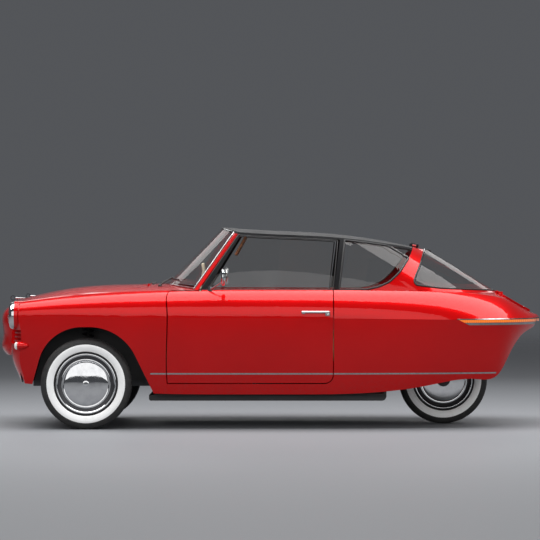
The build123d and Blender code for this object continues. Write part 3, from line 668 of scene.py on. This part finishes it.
def on_hoop(spot):
    """Whether a point of the rear window's edge lies along the hoop."""
    return spot.x > -1.05 and abs(spot.y) < 0.42


SCREENS = (
    # node, the way its outer face looks, how closely, thickness of its seal, which edges have a bright strip
    ("windscreen", (0.6, 0, 0.8), 0.5, 1.0, None),
    ("rear_window", (-0.4, 0, 0.9), 0.35, 1.8, on_hoop),
)


class COUPE_OT_glazing(bpy.types.Operator):
    """Rubber beads round the side panes and bright strips round the screens"""

    bl_idname = "coupe.glazing"
    bl_label = "Window beads"

    def execute(self, context):
        sizes = context.scene.coupe_sizes
        for side, sign in SIDES.items():
            body, pane = "door_" + side, "door_glass_" + side
            bead("door_window_bead_" + side, outline(pane, (0, 1, 0), 0.6), sizes.gasket, body, soft_rubber)
            corner = outer_skin(pane, (0, sign, 0), 0.6)
            sliced(corner, CORNER_SPOT, CORNER_WAY)
            bmesh.ops.solidify(corner, geom=corner.faces[:], thickness=0.004)
            bmesh.ops.translate(corner, vec=(0.0, sign * 0.0022, 0.001), verts=corner.verts[:])
            piece("door_window_corner_" + side, corner, body, (roof_black,))
        bead("quarter_window_beads", outline("quarter_windows", (0, 1, 0), 0.6), sizes.gasket * 1.9, "chassis",
             soft_rubber)
        for node, way, least, thick, where in SCREENS:
            bead(node + "_seal", outline(node, way, least), sizes.gasket * thick, "chassis", soft_rubber)
            bead(node + "_strip", outline(node, way, least), sizes.strip, "chassis", bright_chrome,
                 Vector(way) * STRIP_LIFT, where)
        return {"FINISHED"}


MIRROR_GLASS = [(0.0, 0.2962), (0.05, 0.2962), (0.052, 0.2985), (0.052, 0.3), (0.0, 0.3)]
MIRROR_Y, MIRROR_Z = 0.76, 1.0
GRIP_Y, GRIP_FOOT_Y, GRIP_HALF = 0.7925, 0.783, 0.009
LID_LOCK = [
    (0.0, 0.0022), (0.004, 0.0022), (0.0044, 0.0032), (0.0095, 0.003), (0.012, 0.0012), (0.0125, -0.004),
    (0.0, -0.004),
]
KEY_BUTTON = [(0.0, 0.7985), (0.006, 0.798), (0.0085, 0.7965), (0.0095, 0.794), (0.0095, 0.785), (0.0, 0.785)]


def plumb(node, x, y):
    """The point and normal where a plumb line from above meets a node, or None."""
    hit, spot, normal, _ = NODES[node].ray_cast(Vector((x, y, 2.0)), Vector((0, 0, -1)))
    return (spot, normal) if hit else None


def drop(node, x, y):
    """The same, where the node has to be there."""
    found = plumb(node, x, y)
    if not found:
        raise RuntimeError("nothing of " + node + " below the point")
    return found


def on_screen(y):
    """A point just off the windscreen, a little above its lower edge."""
    for step in range(60):
        x = 0.705 - step * 0.005
        found = plumb("windscreen", x, y)
        if found and found[1].z > 0.3:
            spot, normal = drop("windscreen", x - 0.03, y)
            return spot + normal * 0.009
    raise RuntimeError("the windscreen has no lower edge there")


JET = [(0.0, 0.016), (0.005, 0.015), (0.009, 0.01), (0.011, 0.003), (0.0125, -0.003), (0.0, -0.003)]
WIPER_FOOT = [(0.0, 0.014), (0.007, 0.013), (0.012, 0.008), (0.014, -0.004), (0.0, -0.004)]
WIPER_REACH = ((0.02, 0.4), (-0.42, -0.04))


class COUPE_OT_trim(bpy.types.Operator):
    """Mirror glasses, door grips with key buttons, washer jets, wipers and the lid lock"""

    bl_idname = "coupe.trim"
    bl_label = "Trim"

    def execute(self, context):
        for side, sign in SIDES.items():
            glass, grip = bmesh.new(), bmesh.new()
            turned(glass, MIRROR_GLASS, (0.0, sign * MIRROR_Y, MIRROR_Z), "X", 56)
            piece("mirror_glass_" + side, glass, "door_" + side, (mirror_silver,), 30.0)
            foot = sign * GRIP_FOOT_Y
            slab(grip, (-0.39, -0.204), sign * GRIP_Y, (0.764, 0.78), GRIP_HALF, 0.0076, 5)
            slab(grip, (-0.232, -0.208), foot, (0.759, 0.776), GRIP_HALF, 0.006, 4)
            slab(grip, (-0.394, -0.36), foot, (0.747, 0.776), GRIP_HALF, 0.008, 4)
            turned(grip, KEY_BUTTON, (-0.379, 0.0, 0.7565), "Y", 32, sign)
            piece("door_grip_" + side, grip, "door_" + side, (bright_chrome,), 60.0,
                  ("door_handle_" + side,))
        jets, wipers = bmesh.new(), bmesh.new()
        for sign in SIDES.values():
            turned(jets, JET, drop("front_body", 0.79, sign * 0.16)[0], "Z", 24)
        piece("washer_jets", jets, "chassis", (moulded_black,))
        for near, far in WIPER_REACH:
            foot, _ = drop("front_body", 0.735, far)
            turned(wipers, WIPER_FOOT, foot, "Z", 24)
            blade = [on_screen(y) for y in (near, (near + far) / 2, far - 0.03)]
            for start, end in zip(blade, blade[1:]):
                rod(wipers, start, end, 0.0048)
            rod(wipers, foot + Vector((0.0, 0.0, 0.01)), blade[1] + Vector((0.004, 0.0, 0.008)), 0.0055, 0.0038)
        piece("wipers", wipers, "chassis", (moulded_black,))
        lock = bmesh.new()
        turned_at(lock, LID_LOCK, facing(*drop("boot_lid", -1.738, 0.0)), 36)
        piece("lid_lock", lock, "boot_lid", (bright_chrome,), 40.0)
        return {"FINISHED"}


DRIVER_Y = 0.31
WHEEL_PLACE = leaning((0.15, DRIVER_Y, 0.742), -62.0)
RIM_RADIUS, RIM_GRIP, RIM_POINTS = 0.177, 0.0115, 16
COLUMN = [
    (0.0, 0.014), (0.012, 0.0135), (0.024, 0.01), (0.032, 0.002), (0.034, -0.01), (0.028, -0.022),
    (0.018, -0.028), (0.018, -0.32), (0.0, -0.32),
]


class COUPE_OT_steering(bpy.types.Operator):
    """Ivory steering wheel on bright spokes, with its column"""

    bl_idname = "coupe.steering"
    bl_label = "Steering wheel"

    def execute(self, context):
        rim, spokes = bmesh.new(), bmesh.new()
        turns = [math.tau * i / RIM_POINTS for i in range(RIM_POINTS)]
        ring = [(RIM_RADIUS + RIM_GRIP * math.cos(turn), RIM_GRIP * math.sin(turn)) for turn in turns]
        turned_at(rim, ring, WHEEL_PLACE, 96)
        piece("steering_rim", rim, "chassis", (ivory_paint,), 60.0, ("steering_wheel",))
        for angle in (90.0, 210.0, 330.0):
            place = WHEEL_PLACE @ Matrix.Rotation(math.radians(angle), 4, "Z")
            block(spokes, (0.02, -0.011, -0.012), (0.174, 0.011, -0.006), 0.003, place)
        turned_at(spokes, COLUMN, WHEEL_PLACE, 40)
        piece("steering_spokes", spokes, "chassis", (bright_chrome,))
        return {"FINISHED"}


DASH_X, DASH_Z, DASH_LEAN = 0.352, 0.838, -45.0
# How far across each dial lies from the driver's middle, and its radius
DIALS = ((0.0, 0.062), (-0.15, 0.04))
KNOB = [
    (0.0, 0.024), (0.006, 0.023), (0.009, 0.019), (0.008, 0.012), (0.004, 0.009), (0.004, -0.004), (0.0, -0.004),
]


class COUPE_OT_dials(bpy.types.Operator):
    """Dials and knobs on the dashboard"""

    bl_idname = "coupe.dials"
    bl_label = "Dials and knobs"

    def execute(self, context):
        faces, bezels, needles, knobs = [bmesh.new() for _ in range(4)]
        for shift, radius in DIALS:
            place = leaning((DASH_X, DRIVER_Y, DASH_Z), DASH_LEAN) @ Matrix.Translation((0.0, shift, 0.0))
            turned_at(faces, [(0.0, 0.004), (radius, 0.004), (radius, -0.01), (0.0, -0.01)], place, 56)
            turned_at(bezels, [
                (radius - 0.002, -0.008), (radius - 0.002, 0.01), (radius + 0.002, 0.014), (radius + 0.007, 0.012),
                (radius + 0.009, 0.004), (radius + 0.009, -0.008)], place, 56)
            for tick in range(-4, 5):
                turn = place @ Matrix.Rotation(math.radians(180.0 + tick * 30.0), 4, "Z")
                block(needles, (radius * 0.76, -0.0012, 0.0038), (radius * 0.93, 0.0012, 0.0046), 0.0003, turn, 1)
            turn = place @ Matrix.Rotation(math.radians(100.0), 4, "Z")
            block(needles, (-0.008, -0.001, 0.005), (radius * 0.78, 0.001, 0.0062), 0.0003, turn, 1)
        for y in (0.03, -0.03, -0.09):
            turned_at(knobs, KNOB, leaning((DASH_X, y, DASH_Z), DASH_LEAN), 24)
        piece("dial_faces", faces, "chassis", (dial_face,))
        piece("dial_bezels", bezels, "chassis", (bright_chrome,))
        piece("dial_needles", needles, "chassis", (ivory_paint,))
        piece("dash_knobs", knobs, "chassis", (ivory_paint,))
        return {"FINISHED"}


PEDAL_Y = (0.25, 0.37)
PEDAL_RIBS = (-0.026, -0.013, 0.0, 0.013, 0.026)
MIRROR_FOOT = [(0.0, 0.892), (0.008, 0.89), (0.016, 0.88), (0.02, 0.868), (0.0, 0.868)]
VISOR_Y, VISOR_HALF, VISOR_ROD = 0.26, (0.007, 0.15, 0.072), (0.168, 0.066)


class COUPE_OT_cabin_fittings(bpy.types.Operator):
    """Pedals, brake lever, inside mirror and sun visors"""

    bl_idname = "coupe.cabin_fittings"
    bl_label = "Cabin fittings"

    def execute(self, context):
        pedals, lever = bmesh.new(), bmesh.new()
        for y in PEDAL_Y:
            tilt = leaning((0.56, y, 0.33), -35.0)
            block(pedals, (-0.006, -0.032, -0.045), (0.006, 0.032, 0.045), 0.005, tilt)
            for rib in PEDAL_RIBS:
                block(pedals, (-0.009, -0.028, rib - 0.002), (-0.005, 0.028, rib + 0.002), 0.001, tilt, 1)
            rod(pedals, (0.562, y, 0.33), (0.714, y, 0.52), 0.008)
        piece("pedals", pedals, "chassis", (soft_rubber,))
        block(lever, (-0.1, -0.034, 0.228), (0.12, 0.034, 0.3), 0.02)
        rod(lever, (0.04, 0.0, 0.29), (-0.08, 0.0, 0.395), 0.009)
        rod(lever, (-0.04, 0.0, 0.36), (-0.14, 0.0, 0.448), 0.015, 0.013)
        piece("brake_lever", lever, "chassis", (moulded_black,))
        mirror, visors = bmesh.new(), bmesh.new()
        block(mirror, (-0.01, -0.095, -0.038), (0.01, 0.095, 0.038), 0.0085, leaning((0.452, 0.0, 1.055), 8.0), 4)
        rod(mirror, (0.458, 0.0, 1.03), (0.48, 0.0, 0.874), 0.0055)
        turned(mirror, MIRROR_FOOT, (0.48, 0.0, 0.0), "Z", 28)
        piece("inside_mirror", mirror, "chassis", (ivory_paint,))
        half, (reach, up) = Vector(VISOR_HALF), VISOR_ROD
        for sign in SIDES.values():
            place = leaning((0.197, sign * VISOR_Y, 1.208), -29.0)
            block(visors, -half, half, 0.0065, place, 4)
            rod(visors, place @ Vector((0.0, -reach, up)), place @ Vector((0.0, reach, up)), 0.0045)
        piece("sun_visors", visors, "chassis", (tan_leather,))
        return {"FINISHED"}


DOOR_SHEETS = (
    # name, low corner, high corner, distance off the door, finish
    ("card", (-0.375, 0, 0.372), (0.59, 0, 0.786), 0.01, pleated_leather),
    ("kick", (-0.385, 0, 0.345), (0.6, 0, 0.43), 0.014, loop_carpet),
)
ARMREST_Y, DOOR_STRIP_Y = 0.684, 0.704
# Place of the winder and of the inner handle, and how far each arm reaches
DOOR_LEVERS = ((0.3, 0.56, 0.085), (0.06, 0.705, 0.07))
LEVER_BOSS = [(0.0, 0.683), (0.01, 0.684), (0.016, 0.69), (0.024, 0.701), (0.027, 0.712), (0.0, 0.712)]
WINDER_KNOB = [(0.0, 0.652), (0.006, 0.653), (0.01, 0.66), (0.01, 0.672), (0.006, 0.68), (0.0, 0.681)]


class COUPE_OT_door_linings(bpy.types.Operator):
    """Leather door cards with armrests, winders, pulls and kick strips"""

    bl_idname = "coupe.door_linings"
    bl_label = "Door linings"

    def execute(self, context):
        for side, sign in SIDES.items():
            body = "door_" + side
            for name, low, high, lift, maker in DOOR_SHEETS:
                sheet = outer_skin(body, (0, -sign, 0), 0.85)
                for corner, way in ((low, 1), (high, -1)):
                    sliced(sheet, corner, (way, 0, 0))
                    sliced(sheet, corner, (0, 0, way))
                bmesh.ops.solidify(sheet, geom=sheet.faces[:], thickness=0.008)
                bmesh.ops.translate(sheet, vec=(0.0, -sign * lift, 0.0), verts=sheet.verts[:])
                piece("door_" + name + "_" + side, sheet, body, (maker,))
            rest, bright = bmesh.new(), bmesh.new()
            slab(rest, (-0.25, 0.15), sign * ARMREST_Y, (0.6, 0.642), 0.022, 0.017, 5)
            piece("armrest_" + side, rest, body, (tan_leather,), 60.0)
            for x, z, reach in DOOR_LEVERS:
                turned(bright, LEVER_BOSS, (x, 0.0, z), "Y", 32, sign)
                rod(bright, (x, sign * 0.687, z), (x + reach * 0.8, sign * 0.681, z - reach * 0.5), 0.006, 0.0045)
            turned(bright, WINDER_KNOB, (0.368, 0.0, 0.5175), "Y", 24, sign)
            for z in (0.45, 0.768):
                slab(bright, (-0.372, 0.586), sign * DOOR_STRIP_Y, (z, z + 0.006), 0.005, 0.002)
            piece("door_fittings_" + side, bright, body, (bright_chrome,))
        return {"FINISHED"}


STRUT_Y, COIL_LOW, COIL_RISE, COIL_RADIUS, COIL_WIRE = 0.5, 0.452, 0.206, 0.037, 0.0055
COIL_TURNS, COIL_STEPS = 6, 22
TRAY_RIBS = (0.86, 0.99, 1.12, 1.25, 1.38, 1.51)
SPRING_SEATS = ((0.44, 0.045), (0.664, 0.048))


def coil(shape, centre):
    """A coil spring about an upright line, by a spin that climbs."""
    start = Matrix.Translation(Vector(centre) + Vector((COIL_RADIUS, 0, 0))) @ Matrix.Rotation(math.pi / 2, 4, "X")
    made = bmesh.ops.create_circle(shape, cap_ends=True, segments=8, radius=COIL_WIRE, matrix=start)["verts"]
    edges = list({edge for vertex in made for edge in vertex.link_edges})
    faces = list({face for vertex in made for face in vertex.link_faces})
    count = COIL_TURNS * COIL_STEPS
    bmesh.ops.spin(
        shape, geom=made + edges + faces, cent=centre, axis=(0, 0, 1), dvec=(0, 0, COIL_RISE / count),
        angle=math.tau * COIL_TURNS, steps=count, use_merge=False)


class COUPE_OT_running_gear(bpy.types.Operator):
    """Dampers with springs, track rods, and the ribbed tray of the front boot"""

    bl_idname = "coupe.running_gear"
    bl_label = "Running gear"

    def execute(self, context):
        legs, springs = bmesh.new(), bmesh.new()
        for sign in SIDES.values():
            x, y = FRONT_AXLE_X, sign * STRUT_Y
            rod(legs, (x, y, 0.3), (x, y, 0.52), 0.021)
            rod(legs, (x, y, 0.5), (x, y, 0.676), 0.01)
            for z, r in SPRING_SEATS:
                dish = [(0.018, z), (r, z), (r + 0.003, z + 0.004), (r, z + 0.009), (0.018, z + 0.009)]
                turned(legs, dish, (x, y, 0.0), "Z", 36)
            coil(springs, (x, y, COIL_LOW))
            rod(legs, (1.12, sign * 0.335, 0.3), (1.15, sign * 0.56, 0.3), 0.008)
        for y in (-0.075, 0.075):
            rod(legs, (-0.9, y, 0.372), (-0.8, y, 0.56), 0.018)
        piece("dampers", legs, "chassis", (spring_paint,))
        piece("coil_springs", springs, "chassis", (spring_paint,), 60.0)
        tray = bmesh.new()
        block(tray, (0.75, -0.345, 0.331), (1.58, 0.345, 0.343), 0.005)
        for x in TRAY_RIBS:
            block(tray, (x - 0.012, -0.32, 0.341), (x + 0.012, 0.32, 0.35), 0.004)
        piece("front_tray", tray, "chassis", (moulded_black,))
        return {"FINISHED"}


def bake(obj):
    """Apply all the modifiers of a piece."""
    graph = bpy.context.evaluated_depsgraph_get()
    mesh = bpy.data.meshes.new_from_object(obj.evaluated_get(graph))
    old = obj.data
    obj.modifiers.clear()
    obj.data = mesh
    bpy.data.meshes.remove(old)


PAD_VOXEL, PAD_PRESSURE, PAD_FRAMES, PAD_SWELL = 0.007, 4.0, 20, 0.024


def stuffed(name, shape):
    """A pad: the shape is remeshed, blown up by a cloth simulation and smoothed."""
    obj = new_object(name, mesh_of(name, shape))
    remesh = obj.modifiers.new("remesh", "REMESH")
    remesh.mode = "VOXEL"
    remesh.voxel_size = PAD_VOXEL
    bake(obj)
    rest = [v.co.copy() for v in obj.data.vertices]
    cloth = obj.modifiers.new("cloth", "CLOTH")
    cloth.settings.use_pressure = True
    cloth.settings.uniform_pressure_force = PAD_PRESSURE
    cloth.settings.effector_weights.gravity = 0.0
    for tick in range(1, PAD_FRAMES + 1):
        bpy.context.scene.frame_set(tick)
    bake(obj)
    for vertex, old in zip(obj.data.vertices, rest):
        shift = vertex.co - old
        if shift.length > PAD_SWELL:
            vertex.co = old + shift.normalized() * PAD_SWELL
    bpy.context.scene.frame_set(1)
    smooth = obj.modifiers.new("smooth", "SUBSURF")
    smooth.levels = smooth.render_levels = 1
    bake(obj)
    return obj


PLEAT_PITCH, PLEAT_SIDE, PLEAT_END = 0.062, 0.155, 0.1736
PLEAT_DEPTH, PLEAT_WIDTH = 0.008, 0.006


def pleat(obj, place):
    """Press sewn channels, and a seam round them, into the front of a pad."""
    back = place.inverted()
    for vertex in obj.data.vertices:
        spot = back @ vertex.co
        if spot.x < 0.0:
            continue
        y, z = abs(spot.y), abs(spot.z)
        gaps = []
        if y < PLEAT_SIDE:
            gaps.append(abs(z - PLEAT_END))
        if z <= PLEAT_END:
            gaps.append(abs(y - PLEAT_SIDE))
            if y < PLEAT_SIDE:
                gaps.append(abs((spot.y + PLEAT_PITCH / 2) % PLEAT_PITCH - PLEAT_PITCH / 2))
        if gaps:
            spot.x -= PLEAT_DEPTH * math.exp(-((min(gaps) / PLEAT_WIDTH) ** 2))
        vertex.co = place @ spot


SEAT_Y, SEAT_RAIL = 0.305, 0.165
PAD_HALF, PAD_WIDE, PAD_EDGE = 0.04, 0.215, 0.034
PADS = (
    # name, place, half its length
    ("seat_back_left", leaning((-0.52, SEAT_Y, 0.645), -21.0), 0.238),
    ("seat_cushion_left", leaning((-0.19, SEAT_Y, 0.396), -87.0), 0.218),
)


def mirrored(pad):
    """A copy of a pad for the other side."""
    obj = new_object(pad.name.replace("left", "right"), pad.data.copy())
    shape = bmesh.new()
    shape.from_mesh(obj.data)
    bmesh.ops.scale(shape, vec=(1, -1, 1), verts=shape.verts[:])
    bmesh.ops.recalc_face_normals(shape, faces=shape.faces[:])
    shape.to_mesh(obj.data)
    shape.free()
    obj.data.materials.clear()
    return obj


class COUPE_OT_seats(bpy.types.Operator):
    """Two padded leather seats on their rails"""

    bl_idname = "coupe.seats"
    bl_label = "Seats"

    def execute(self, context):
        pads = []
        for name, place, high in PADS:
            shape = bmesh.new()
            half = Vector((PAD_HALF, PAD_WIDE, high))
            block(shape, -half, half, PAD_EDGE, place, 4)
            pads.append(stuffed(name, shape))
            pleat(pads[-1], place)
        for side, sign in SIDES.items():
            stand, middle = bmesh.new(), sign * SEAT_Y
            for rail in (-SEAT_RAIL, SEAT_RAIL):
                y = middle + rail
                slab(stand, (-0.43, -0.01), y, (0.228, 0.252), 0.014, 0.004)
                for x in (-0.36, -0.09):
                    rod(stand, (x, y, 0.25), (x, y, 0.345), 0.011)
            slab(stand, (-0.41, 0.02), middle, (0.33, 0.348), 0.2, 0.006)
            rod(stand, (0.03, middle - 0.06, 0.318), (0.03, middle + 0.06, 0.318), 0.007)
            piece("seat_stand_" + side, stand, "chassis", (cast_iron,), 35.0, ("seat_" + side,))
            for pad in pads:
                obj = mirrored(pad) if side == "right" else pad
                obj.data.shade_smooth()
                settle(obj, "chassis", (tan_leather,))
        return {"FINISHED"}


def softbox(name, place, aim, size, power):
    """A rectangular lamp at a place, facing a point."""
    light = bpy.data.lights.new(name, "AREA")
    light.shape = "RECTANGLE"
    light.size, light.size_y = size
    light.energy = power
    lamp = new_object(name, light)
    lamp.location = place
    lamp.rotation_euler = (Vector(aim) - Vector(place)).to_track_quat("-Z", "Y").to_euler()


def light_world(world):
    """Grey backdrop for the camera, metal and glass, and a soft grey fill for the rest."""
    f = Finish(world.name, world)
    seen = f.add("ShaderNodeLightPath", out="Is Camera Ray")
    for ray in ("Is Glossy Ray", "Is Transmission Ray"):
        seen = seen | f.add("ShaderNodeLightPath", out=ray)
    tone = f.blend(seen, rgb(0.27, 0.275, 0.285), rgb(0.088, 0.092, 0.1))
    f.show(f.add("ShaderNodeBackground", None, {"Color": tone}))


def studio_floor():
    """Pale floor that gives way to the backdrop far from the car."""
    f = Finish("studio_floor")
    tone = tuple(bpy.context.scene.coupe_finish.floor)
    colour = f.blend(f.noise(0.6, 2.0) * 0.1, rgb(*tone), dimmed(tone, 0.9, 0.9, 0.9))
    ground = f.surface(colour, 0.6, {"Specular IOR Level": 0.2})
    reach = f.axis("X") * f.axis("X") + f.axis("Y") * f.axis("Y")
    return f.mix(reach.fade(90.0, 700.0), ground, f.add("ShaderNodeBsdfTransparent"))


FLOOR_SIZE = 60.0
SOFTBOXES = (
    # name, place, aim, size, watts
    ("overhead", (0.0, 0.6, 5.2), (0.0, 0.2, 0.6), (12.5, 4.2), 860.0),
    ("near_fill", (0.0, 12.5, 5.0), (0.0, 0.0, 0.8), (24.0, 8.2), 960.0),
    ("far_rim", (0.0, -6.0, 3.6), (0.0, 0.0, 0.8), (8.0, 1.6), 80.0),
)
CAMERA_SENSOR, CAMERA_LENS, CAMERA_END, CAMERA_DIP = 36.0, 185.6, 200.0, 0.165


class COUPE_OT_stage(bpy.types.Operator):
    """Floor, studio light and the camera"""

    bl_idname = "coupe.stage"
    bl_label = "Studio"

    def execute(self, context):
        scene = context.scene
        sizes = scene.coupe_sizes
        shape = bmesh.new()
        bmesh.ops.create_grid(shape, x_segments=1, y_segments=1, size=FLOOR_SIZE)
        floor = new_object("studio_floor", mesh_of("studio_floor", shape))
        floor.data.materials.append(use(studio_floor))
        scene.world = scene.world or bpy.data.worlds.new("studio_world")
        light_world(scene.world)
        for row in SOFTBOXES:
            softbox(*row)
        camera = bpy.data.cameras.new("photo_camera")
        camera.sensor_width = CAMERA_SENSOR
        camera.lens = CAMERA_LENS
        camera.clip_end = CAMERA_END
        eye = new_object("photo_camera", camera)
        eye.location = (0.0, sizes.camera_distance, sizes.camera_height)
        eye.rotation_euler = (math.radians(90.0 - CAMERA_DIP), 0.0, math.radians(180.0))
        scene.camera = eye
        scene.view_settings.view_transform = "Standard"
        return {"FINISHED"}


OPERATORS = (
    COUPE_OT_stage, COUPE_OT_dress_frame, COUPE_OT_wheels, COUPE_OT_lamps, COUPE_OT_glazing,
    COUPE_OT_trim, COUPE_OT_steering, COUPE_OT_dials, COUPE_OT_cabin_fittings, COUPE_OT_door_linings,
    COUPE_OT_running_gear, COUPE_OT_seats,
)


class COUPE_PT_panel(bpy.types.Panel):
    """The coupe's pieces, colours and sizes"""

    bl_idname = "COUPE_PT_panel"
    bl_label = "Three-wheeled coupe"
    bl_space_type = "VIEW_3D"
    bl_region_type = "UI"
    bl_category = "Coupe"

    def draw(self, context):
        layout = self.layout
        for operator in OPERATORS:
            layout.operator(operator.bl_idname)
        for group in (context.scene.coupe_finish, context.scene.coupe_sizes):
            for name in group.__annotations__:
                layout.prop(group, name)


CLASSES = (CoupeFinish, CoupeSizes, *OPERATORS, COUPE_PT_panel)


def register():
    for cls in CLASSES:
        bpy.utils.register_class(cls)
    bpy.types.Scene.coupe_finish = PointerProperty(type=CoupeFinish)
    bpy.types.Scene.coupe_sizes = PointerProperty(type=CoupeSizes)


def unregister():
    del bpy.types.Scene.coupe_sizes
    del bpy.types.Scene.coupe_finish
    for cls in reversed(CLASSES):
        bpy.utils.unregister_class(cls)


def main():
    register()
    for operator in OPERATORS:
        group, name = operator.bl_idname.split(".")
        getattr(getattr(bpy.ops, group), name)()


if __name__ == "__main__":
    main()
